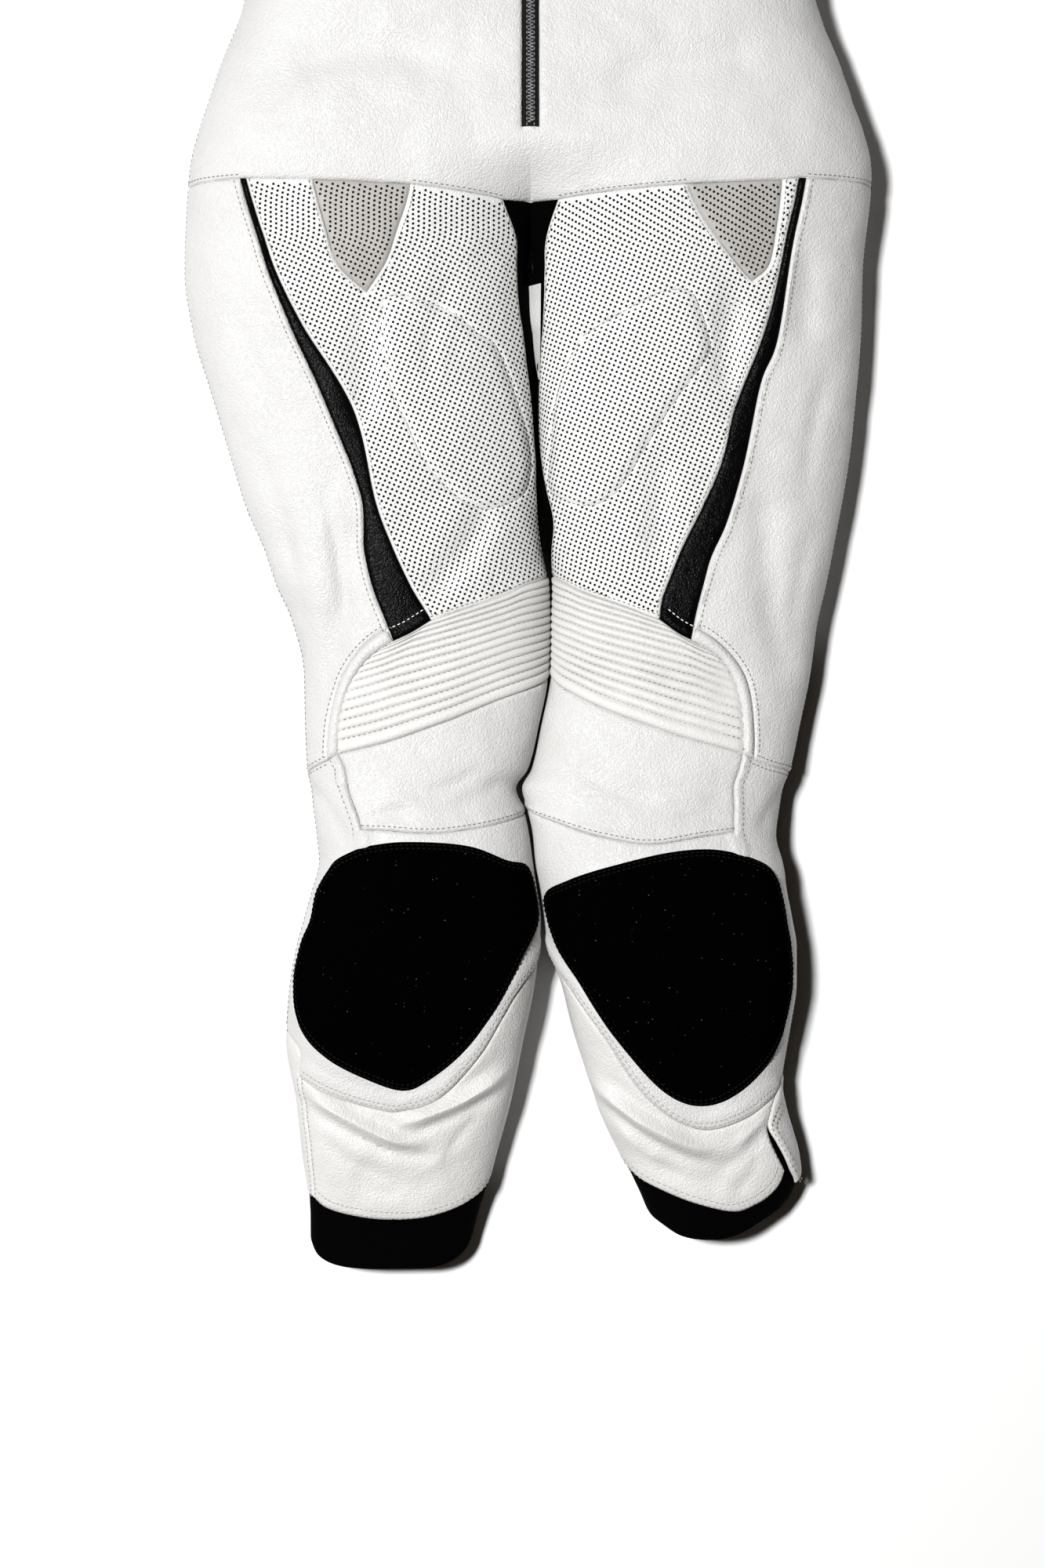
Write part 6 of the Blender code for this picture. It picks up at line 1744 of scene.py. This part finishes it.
@dataclass
class HalfSuit:
    """One leg and its half of the hips and chest."""

    pattern: LegPattern  # what is drawn on it
    inseam_turn: float = -0.9  # how far round to the back the black stretch reaches
    inseam_top: float = 8.0  # where it starts there, down from the crotch
    inseam_low: float = 262.0  # where it ends there
    back_knee: float = 318.0  # where the back of the knee starts
    calf: float = 480.0  # where the calf starts
    band_rise: float = 1.6  # how far the band beside the ribs stands up
    patch_lift: float = 2.4  # how far the knee patch stands up
    patch_rows: Sequence[float] = (2.6, 5.4)  # how far in from its edge its stitches run
    flap_tip: float = 5.0  # how far the open flap's tip reaches below its outer edge
    flap_lift: float = 1.2  # how far the flap stands up all over
    flap_rise: float = 2.2  # how far its open edge stands up beyond that
    tuck: float = 7.0  # how far the gusset reaches under the shin
    tuck_down: float = 4.0  # how much lower than the flap it starts and ends
    gusset_sink: float = 3.0  # how deep it lies

    def __post_init__(self) -> None:
        """Opens the tailor's books for one side."""
        self.form = BodyForm(self.pattern.side, self.pattern)
        self.tailor = Tailor(self.form, {**self.pattern.seams, **BODY_SEAMS}, -674.0, 862.0)
        self.book = self.tailor.book
        self.pale, self.white, self.soft, self.dark, self.holes = ([] for _ in range(5))

    def build(self) -> None:
        """Makes every piece and all the sewing of this side."""
        for part in (self.thigh, self.knee, self.shin, self.underside, self.hips_and_chest,
                     self.stitching):
            part()
        label, stitch = self.pattern.side.label, Repeat.of(RepeatShape.STITCH)
        # the pale and soft stitch rows take thread colours darkened by painted shade
        for tone, spots, finish in (("pale", self.pale, Finish.THREAD_DEEP_PAINTED_SHADE),
                                    ("white", self.white, Finish.WHITE_THREAD),
                                    ("soft", self.soft, Finish.THREAD_LIGHT_PAINTED_SHADE),
                                    ("dark", self.dark, Finish.BLACK_THREAD)):
            stitch.place(f"{label}_{tone}_stitches", spots, finish, STITCH_SIZE)
        # the holes are near-black discs: painted shade where the holes' insides lie
        Repeat.of(RepeatShape.HOLE).place(f"{label}_perforations", self.holes,
                                          Finish.PAINTED_HOLE_SHADE, self.tailor.hole_size)

    def thigh(self) -> None:
        """The pieces from the hip yoke to the knee."""
        make, loop, book = self.tailor.make, self.book.loop, self.book
        make("outer_thigh", loop("yoke_outer", book.upright(pi, "yoke_outer", "cross_outer"),
                                 "-cross_outer", "-band_outer", "-stripe_outer"),
             PieceStyle(raised=(("stripe_outer", 1.0, 3.4, 5.0), ("cross_outer", 0.8, 4.0, 6.0))))
        make("stripe", loop("yoke_stripe", "stripe_outer", "-stripe_end", "-stripe_inner"),
             PieceStyle(Finish.BLACK_LEATHER, wrinkle=0.15,
                        raised=(("stripe_end", 1.3, 7.0, 9.0),)))
        make("rib_band", loop("band_outer", "-band_end", "-rib_curve"),
             PieceStyle(edge=Fastening.BAND, lift=self.band_rise, crown=0.8))
        insert = loop("yoke_insert", "insert_outer", "-insert_inner")
        make("hip_insert", insert, PieceStyle(Finish.GREY_LEATHER, lift=-0.6))
        front = loop("yoke_thigh", "insert_inner", "-insert_outer", "yoke_pocket",
                     "stripe_inner", "rib_top", "-thigh_inner")
        make("thigh_front", front, PieceStyle(Finish.PUNCHED_LEATHER))
        self.tailor.punch(self.holes, front, 3.2)
        self.tailor.punch(self.holes, insert, 2.6, lift=-0.6)
        inseam = loop("yoke_crotch", "thigh_inner",
                      book.level(self.inseam_low, 0.0, self.inseam_turn),
                      book.upright(self.inseam_turn, self.inseam_low, self.inseam_top),
                      book.level(self.inseam_top, self.inseam_turn, 0.0),
                      book.upright(0.0, self.inseam_top, "-yoke_crotch"))
        make("inner_stretch", inseam, PieceStyle(Finish.BLACK_STRETCH, wall=1.4, step=6.0))
        RibPanel(self.tailor).build(self.pale)

    def patch_loop(self) -> Array:
        """Gives the knee patch's outline, as (around, down) rows."""
        return self.book.path(closed(self.pattern.patch))[:-1]

    def knee(self) -> None:
        """The plain piece above the knee, the knee, and the patch sewn on it."""
        make, loop, book = self.tailor.make, self.book.loop, self.book
        make("knee_upper", loop("-rib_bottom", "knee_side", "knee_seam",
                                book.inner_side("knee_seam", "rib_bottom")),
             PieceStyle(raised=(("knee_seam", 0.9, 5.0, 6.6),)))
        make("knee_panel", loop("band_end", "cross_outer",
                                book.upright(pi, "cross_outer", "-zip_top"), "zip_top",
                                "surround", book.inner_side("surround", "knee_seam"),
                                "-knee_seam", "-knee_side"),
             PieceStyle(raised=(("surround", 1.5, 9.0, 16.0),)), self.knee_band)
        make("knee_patch", self.patch_loop(),
             PieceStyle(Finish.BLACK_LOOP, edge=Fastening.BAND, lift=self.patch_lift,
                        wrinkle=0.3))

    def knee_band(self, cut: Cut) -> Array:
        """Raises the piped band beside the knee."""
        gap, _ = path_gap(cut.flat, self.book.path(self.pattern.knee_band))
        return 1.7 * np.sqrt(np.clip(1.0 - ((gap - 2.9) / 3.6) ** 2, 0.0, 1.0))

    def shin(self) -> None:
        """The creased shin, the strip beside the ankle zip, and the cuff."""
        make, loop, book = self.tailor.make, self.book.loop, self.book
        make("shin", loop("zip_side", "hem", book.inner_side("hem", "surround"), "-surround"),
             PieceStyle(Finish.WARM_LEATHER))
        if self.pattern.welt:
            self.open_flap()
        else:
            make("ankle_strip", loop(book.upright(pi, "-zip_top", "hem_side"), "-hem_side",
                                     "-zip_side", "-zip_top"),
                 PieceStyle(Finish.WARM_LEATHER, wall=1.6, step=3.0))
        inner_hem = book.down("hem")
        hem = np.vstack([book.curve("hem")[::-1], book.curve("hem_side")[1:],
                         [(2.0 * pi + INNER_WRAP, inner_hem), (2.0 * pi, inner_hem)]])
        end = np.vstack([book.curve("cuff_end")[::-1],
                         book.curve("cuff_end@back") + (2.0 * pi, 0.0)])
        self.tailor.tube("ankle_cuff", hem, end,
                         PieceStyle(Finish.BLACK_STRETCH, wall=1.6, lift=-CUFF_SINK))

    def open_flap(self) -> None:
        """The ankle strip where it stands open, and the stretch gusset behind its zip."""
        book, welt = self.book, self.pattern.welt
        edge = book.path(welt)
        outer_down = welt[-1][1] - self.flap_tip
        flap = book.loop(book.upright(pi, "-zip_top", outer_down),
                         book.path([(OUT, outer_down), welt[-1]]), edge[::-1], "-zip_top")
        self.tailor.make("ankle_strip", flap, PieceStyle(Finish.WARM_LEATHER, wall=1.6, step=2.6,
                                                         lift=self.flap_lift), self.flap_stand)
        for offset in (1.6, 5.0):
            self.tailor.sew(self.soft, edge[3:], offset,
                            lift=self.flap_lift + self.flap_rise + 0.6)
        tucked = [(across - self.tuck, down + self.tuck_down) for across, down in welt]
        outer_end, start = outer_down + 2.0 * self.flap_tip, tucked[0][1]
        gusset = book.loop(book.path(tucked), book.path([tucked[-1], (OUT, outer_end)]),
                           book.upright(pi, outer_end, start),
                           book.level(start, pi, self.form.turn_at(*tucked[0])))
        self.tailor.make("ankle_cuff_gusset", gusset,
                         PieceStyle(Finish.BLACK_STRETCH, wall=0.8, step=4.0,
                                    lift=-self.gusset_sink), node="ankle_cuff")

    def flap_stand(self, cut: Cut) -> Array:
        """Raises the flap's open edge, and the welt along it."""
        downs = [down for _, down in self.pattern.welt]
        gap, _ = path_gap(cut.flat, self.book.path(self.pattern.welt))
        down = cut.flat[:, 1]
        rise = self.flap_rise * fall_off(gap, 3.0, 14.0) + 0.7 * fall_off(gap, 5.8, 6.8)
        tip = 1.0 - 0.75 * smooth_step(down, downs[-3], downs[-1])
        return rise * (0.3 + 0.7 * smooth_step(down, downs[1], downs[3])) * tip

    def underside(self) -> None:
        """The pieces that the leg lies on."""
        book = self.book
        thigh = book.loop(book.level(self.inseam_top, -pi, self.inseam_turn),
                          book.upright(self.inseam_turn, self.inseam_top, self.inseam_low),
                          book.level(self.inseam_low, self.inseam_turn, INNER_WRAP),
                          book.upright(INNER_WRAP, self.inseam_low, self.back_knee),
                          book.level(self.back_knee, INNER_WRAP, -pi),
                          book.upright(-pi, self.back_knee, self.inseam_top))
        make, black = self.tailor.make, PieceStyle(Finish.BLACK_STRETCH, 1.4, wrinkle=0.0,
                                                   step=BACK_FINE)
        make("back_thigh", thigh, PieceStyle(wrinkle=0.0, step=BACK_FINE))
        make("back_knee", book.panel(-pi, INNER_WRAP, self.back_knee, self.calf), black)
        make("calf", book.panel(-pi, INNER_WRAP, self.calf, "hem", "hem_side"), black)

    def hips_and_chest(self) -> None:
        """This half of the hips and chest, front and back."""
        make, loop, book = self.tailor.make, self.book.loop, self.book
        front = PieceStyle(step=BODY_FINE, wrinkle=0.6)
        back = PieceStyle(wrinkle=0.0, step=BACK_FINE)
        make("hip_front", loop("zip_foot", "zip_low", "waist",
                               book.upright(pi, WAIST_DOWN, "yoke_outer"), "-yoke_outer",
                               "-yoke_stripe", "-yoke_pocket", "-yoke_insert", "-yoke_thigh",
                               "-yoke_crotch",
                               book.upright(0.0, "-yoke_crotch", ZIP_BOTTOM_DOWN)), front)
        make("chest", loop("zip_high", "neck_front", "shoulder",
                           book.upright(pi, SHOULDER_DOWN, WAIST_DOWN), "-waist"), front)
        make("seat", book.panel(BACK_EDGE, -pi, WAIST_DOWN, self.inseam_top), back)
        make("back", loop("neck_back@back", "shoulder@back",
                          book.upright(-pi, SHOULDER_DOWN, WAIST_DOWN),
                          book.level(WAIST_DOWN, -pi, BACK_EDGE),
                          book.upright(BACK_EDGE, WAIST_DOWN, "-neck_back")), back)

    def stitching(self) -> None:
        """The rows of stitches on this side, but for the flap's and the ribs'."""
        sew, book = self.tailor.sew, self.book
        for seam, offset, lift in ROWS_BESIDE_SEAMS:
            if not (self.pattern.welt and seam == "zip_side" and offset > 0.0):
                spots = self.soft if seam in SOFT_ROWS else self.pale
                sew(spots, book.run(seam), offset, lift + STITCH_LIFT)
        sew(self.pale, book.path(self.pattern.knee_band), 7.4)
        sew(self.white, book.run("stripe_end"), 10.5, 0.3)
        patch = self.patch_loop()
        for offset in self.patch_rows:
            sew(self.dark, closed(patch), inwards(patch, offset), self.patch_lift + 0.1)
        sew(self.pale, book.upright(pi, WAIST_DOWN, "-zip_top"), -3.0)
        sew(self.pale, book.path(closed(self.pattern.pad)), lift=-0.1)


# ---- sleeves, collar and zip
@dataclass
class Sleeve:
    """One sleeve with its cuff."""

    side: Side
    start: float = 1.0  # where its cloth starts along the arm
    cuff: float = 548.0  # where its cuff starts

    def build(self) -> None:
        """Makes the sleeve's pieces and sewing."""
        end = SLEEVE[-1][0]
        tailor = Tailor(SleeveForm(self.side), {}, 0.0, end, 4.0)
        book = tailor.book
        tailor.make("sleeve_upper", book.panel(0.0, pi, self.start, self.cuff),
                    PieceStyle(step=BODY_FINE, wrinkle=0.7))
        tailor.make("sleeve_under", book.panel(-pi, BACK_EDGE, self.start, self.cuff),
                    PieceStyle(Finish.BLACK_STRETCH, wall=1.4, wrinkle=0.0, step=BACK_FINE))
        edges = (np.array([(0.0, along), (2.0 * pi, along)]) for along in (self.cuff, end))
        tailor.tube("sleeve_cuff", *edges,
                    PieceStyle(Finish.BLACK_STRETCH, wall=1.6, lift=-CUFF_SINK))
        spots: Spots = []
        for along in (self.cuff - 3.0, self.cuff - 9.0, self.start + 5.0):
            tailor.sew(spots, book.level(along, 0.08, pi - 0.08))
        Repeat.of(RepeatShape.STITCH).place(f"{self.side.label}_sleeve_stitches", spots,
                                            Finish.THREAD_DEEP_PAINTED_SHADE, STITCH_SIZE)


@dataclass
class InseamStrip:
    """The narrow leather strip that lies over the stretch between the thighs."""

    right: BodyForm
    left: BodyForm
    # distance down, its right edge and its left edge
    edges: Sequence[tuple] = ((21, -1.8, 8.6), (45, -0.4, 8.4), (64, 1.5, 8.2), (82, 3.9, 8.0),
                              (99, 6.6, 8.0))
    clear: float = 1.3  # how far it lies above both legs at its edges
    bow: float = 0.6  # how far its middle rises further
    wall: float = 1.4
    columns: int = 9  # how many points it has across
    rows: int = 40  # how many rows it has

    @staticmethod
    def top_of(form: BodyForm, across: Array, down: float) -> Array:
        """Gives the height of a leg's front at some distances across."""
        turns = np.linspace(0.0, 0.6, 80)
        return np.interp(across, *form.front(turns, np.full(len(turns), down)))

    def build(self) -> None:
        """Makes the strip."""
        downs = np.linspace(self.edges[0][0], self.edges[-1][0], self.rows)
        grid = []
        for down, low, high in zip(downs, *(smooth_table(self.edges, downs, k) for k in (1, 2))):
            across = np.linspace(low, high, self.columns)
            bed = np.maximum(self.top_of(self.left, across, down),
                             self.top_of(self.right, -across, down))
            up = (np.linspace(bed[0], bed[-1], self.columns) + self.clear
                  + self.bow * np.sin(np.linspace(0.0, pi, self.columns)))
            grid.append(np.column_stack([across, across * 0.0 + SUIT_MIDDLE_DOWN - down, up]))
        top = np.vstack(grid)
        widths = np.linalg.norm(np.diff(grid, axis=1), axis=2).sum(axis=1)
        length = downs[-1] - downs[0]
        cloth_piece("inseam_strip_cloth", top, top - (0.0, 0.0, self.wall),
                    grid_triangles(self.rows, self.columns), Finish.WHITE_LEATHER,
                    "left_inner_stretch", (widths.max(), length))


@dataclass
class Collar:
    """The stand collar, open at the zip."""

    right: HalfSuit
    left: HalfSuit
    gap: float = 1.1  # how far above the neck seam it starts
    height: float = 39.0  # how high it stands
    lean: float = 10.0  # how far the front of its top leans in
    taper: float = 0.06  # how much narrower it is at its top, as a share
    puff: float = 0.9  # how far its outer side swells, and how thin its rim is
    wall: float = 3.0
    rows: int = 14  # how many rows of points it has between foot and top

    @staticmethod
    def neck_line(half: HalfSuit) -> Array:
        """Gives one half's neck seam, from the zip to the middle of the back."""
        turned = np.vstack([half.book.curve("neck_front"),
                            half.book.curve("neck_back@back")[::-1][1:]])
        return half.form.world(half.form.point(*turned.T))

    def build(self) -> None:
        """Makes the collar."""
        ring = evenly(np.vstack([self.neck_line(self.right),
                                 self.neck_line(self.left)[::-1][1:]]), 4.0)
        ways = np.gradient(ring, axis=0)
        out = unit(np.column_stack([ways[:, 2], ways[:, 1] * 0.0, -ways[:, 0]]))
        away = np.einsum("ij,ij->i", out, ring - ring.mean(axis=0))
        out *= np.where(away < 0.0, -1.0, 1.0)[:, None]
        tallest = max(height for _, height in HEIGHTS)
        equator = tallest * EQUATOR_SHARE
        front = np.clip((ring[:, 2] - equator) / (tallest - equator), 0.0, 1.0)
        top_y = SUIT_MIDDLE_DOWN - COLLAR_TOP_DOWN
        rise = np.minimum(self.height, top_y - ring[:, 1] - self.gap)
        outer, inner = [], []
        for share in np.linspace(0.0, 1.0, self.rows + 1):
            level = ring.copy()
            level[:, 1] += self.gap + share * rise
            level[:, 2] -= share * self.lean * front
            level[:, 0] *= 1.0 - self.taper * share
            rim = self.puff * (share > 0.97)
            puff = self.puff * math.sin(pi * min(share * 1.15, 1.0)) - rim
            outer.append(level + out * puff * front[:, None])
            inner.append(level - out * (self.wall - rim))
        cloth_piece("collar_cloth", np.vstack(outer), np.vstack(inner),
                    grid_triangles(self.rows + 1, len(ring)), Finish.BLACK_LEATHER, "collar",
                    (self.height, run_lengths(ring)[-1]))


@dataclass
class FrontZip:
    """The closed front zip with its tape and teeth, its slider and its pull tab."""

    form: BodyForm  # the half whose front edge it follows
    slider: float = -588.0  # where the slider is, down from the crotch
    pitch: float = 2.6  # the distance between the teeth of one side
    tooth: Sequence[float] = (3.0, 1.5, 1.3)  # the size of a tooth
    margin: float = 0.4  # how far its tape stays from the leather
    wall: float = 1.2  # the tape's thickness
    rows: int = 180  # points along the tape
    columns: int = 11  # points across it

    def line(self, downs: Array) -> Array:
        """Gives the world points of the zip's middle line."""
        return self.form.world(self.form.point(np.zeros(len(downs)), downs) * (0.0, 1.0, 1.0))

    def build(self) -> None:
        """Makes the tape and the teeth, and finishes the metal parts."""
        downs = np.linspace(ZIP_BOTTOM_DOWN - self.margin, NECK_FRONT_DOWN + self.margin,
                            self.rows)
        half = ZIP_HALF_WIDTH - self.margin
        shares = np.linspace(-1.0, 1.0, self.columns)
        drop = 0.5 + 0.7 * smooth_step(np.abs(shares), 0.55, 1.0) - 0.25 * (np.abs(shares) < 0.5)
        across = np.column_stack([shares * half, shares * 0.0, -drop])
        top = (self.line(downs)[:, None] + across).reshape(-1, 3)
        cloth_piece("front_zip_tape", top, top - (0.0, 0.0, self.wall),
                    grid_triangles(self.rows, self.columns), Finish.ZIP_TAPE, "front_zip",
                    (2.0 * half, downs[0] - downs[-1]))
        marks = np.arange(ZIP_BOTTOM_DOWN - 4.0, self.slider + 6.0, -self.pitch)
        spots = []
        for sign in (-1.0, 1.0):
            places = self.line(marks - (sign + 1.0) * self.pitch / 4.0)
            spots.append(np.hstack([places + (sign * 1.05, 0.0, -0.05),
                                    np.tile((0.0, 0.0, 1.0, sign, 0.0, 0.0), (len(marks), 1))]))
        Repeat.of(RepeatShape.TOOTH).place("front_zip_teeth", spots, Finish.DARK_METAL, self.tooth)
        for node in ("zip_slider", "zip_pull_tab"):
            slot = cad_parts[node].material_slots[0]
            slot.link = "OBJECT"
            slot.material = Finish.DARK_METAL.material()


# ---- the picture
@dataclass
class Studio:
    """The floor, the light and the camera, in metres and watts."""

    # the point that the camera looks straight down on
    middle: Sequence[float] = (-0.0066, -0.3625)
    height: float = 2.4  # the camera's height
    level: float = 0.05  # the height at which the picture is to scale
    length: float = 1.3  # how much of that level the picture's long side shows
    # where the light is, from the point that the camera looks at
    light: Sequence[float] = (-1.6, 0.62, 4.2)
    light_side: float = 0.6  # the light's side
    power: float = 318.0
    air: Colour = (1.0, 0.80, 0.62)  # the colour of the light from all round
    air_strength: float = 0.025
    floor: float = 0.81  # the floor's tone
    reach: float = 6.0  # the floor's half side
    floor_up: float = -0.0006  # the floor's height

    def build(self) -> None:
        """Sets up the whole studio."""
        self.lay_floor()
        self.hang_light()
        world = bpy.data.worlds.new("studio_air")
        world.use_nodes = True
        shade = world.node_tree.nodes["Background"].inputs
        shade["Color"].default_value = (*self.air, 1.0)
        shade["Strength"].default_value = self.air_strength
        bpy.context.scene.world = world
        bpy.context.scene.view_settings.view_transform = "Standard"
        self.hang_camera()

    def lay_floor(self) -> None:
        """Lays a plain pale floor under the suit."""
        mesh = bpy.data.meshes.new("floor")
        corners = ((-1, -1), (1, -1), (1, 1), (-1, 1))
        mesh.from_pydata([(x * self.reach, y * self.reach, self.floor_up) for x, y in corners],
                         [], [(0, 1, 2, 3)])
        bench = ShaderBench("pale_floor")
        for name, value in (("Base Color", (self.floor, self.floor, self.floor, 1.0)),
                            ("Roughness", 0.9), ("Specular IOR Level", 0.1)):
            bench.shader[name].default_value = value
        mesh.materials.append(bench.material)
        placed("floor", mesh)

    def hang_light(self) -> None:
        """Adds a square light that faces the suit."""
        data = bpy.data.lights.new("key_light", "AREA")
        data.shape, data.size, data.energy = "SQUARE", self.light_side, self.power
        x, y, z = self.light
        made = placed("key_light", data)
        made.location = (self.middle[0] + x, self.middle[1] + y, z)
        made.rotation_euler = Vector((-x, -y, -z)).to_track_quat("-Z", "Y").to_euler()

    def hang_camera(self) -> None:
        """Hangs the camera straight over the legs."""
        data = bpy.data.cameras.new("camera")
        data.sensor_fit, data.sensor_width = "AUTO", 36.0
        data.lens = data.sensor_width * (self.height - self.level) / self.length
        made = placed("camera", data)
        made.location = (*self.middle, self.height)
        bpy.context.scene.camera = made


# ---- the suit
class RaceSuit:
    """The whole suit."""

    def __init__(self) -> None:
        """Prepares both halves."""
        self.right, self.left = HalfSuit(RIGHT), HalfSuit(LEFT)

    def build(self) -> None:
        """Makes every piece."""
        for part in (self.right, self.left, Sleeve(Side.RIGHT), Sleeve(Side.LEFT),
                     InseamStrip(self.right.form, self.left.form),
                     Collar(self.right, self.left), FrontZip(self.left.form)):
            part.build()


def main() -> None:
    """Builds the suit and the studio."""
    logging.basicConfig(level=logging.INFO, format="%(name)s: %(message)s")
    RaceSuit().build()
    Studio().build()


if __name__ == "__main__":
    main()
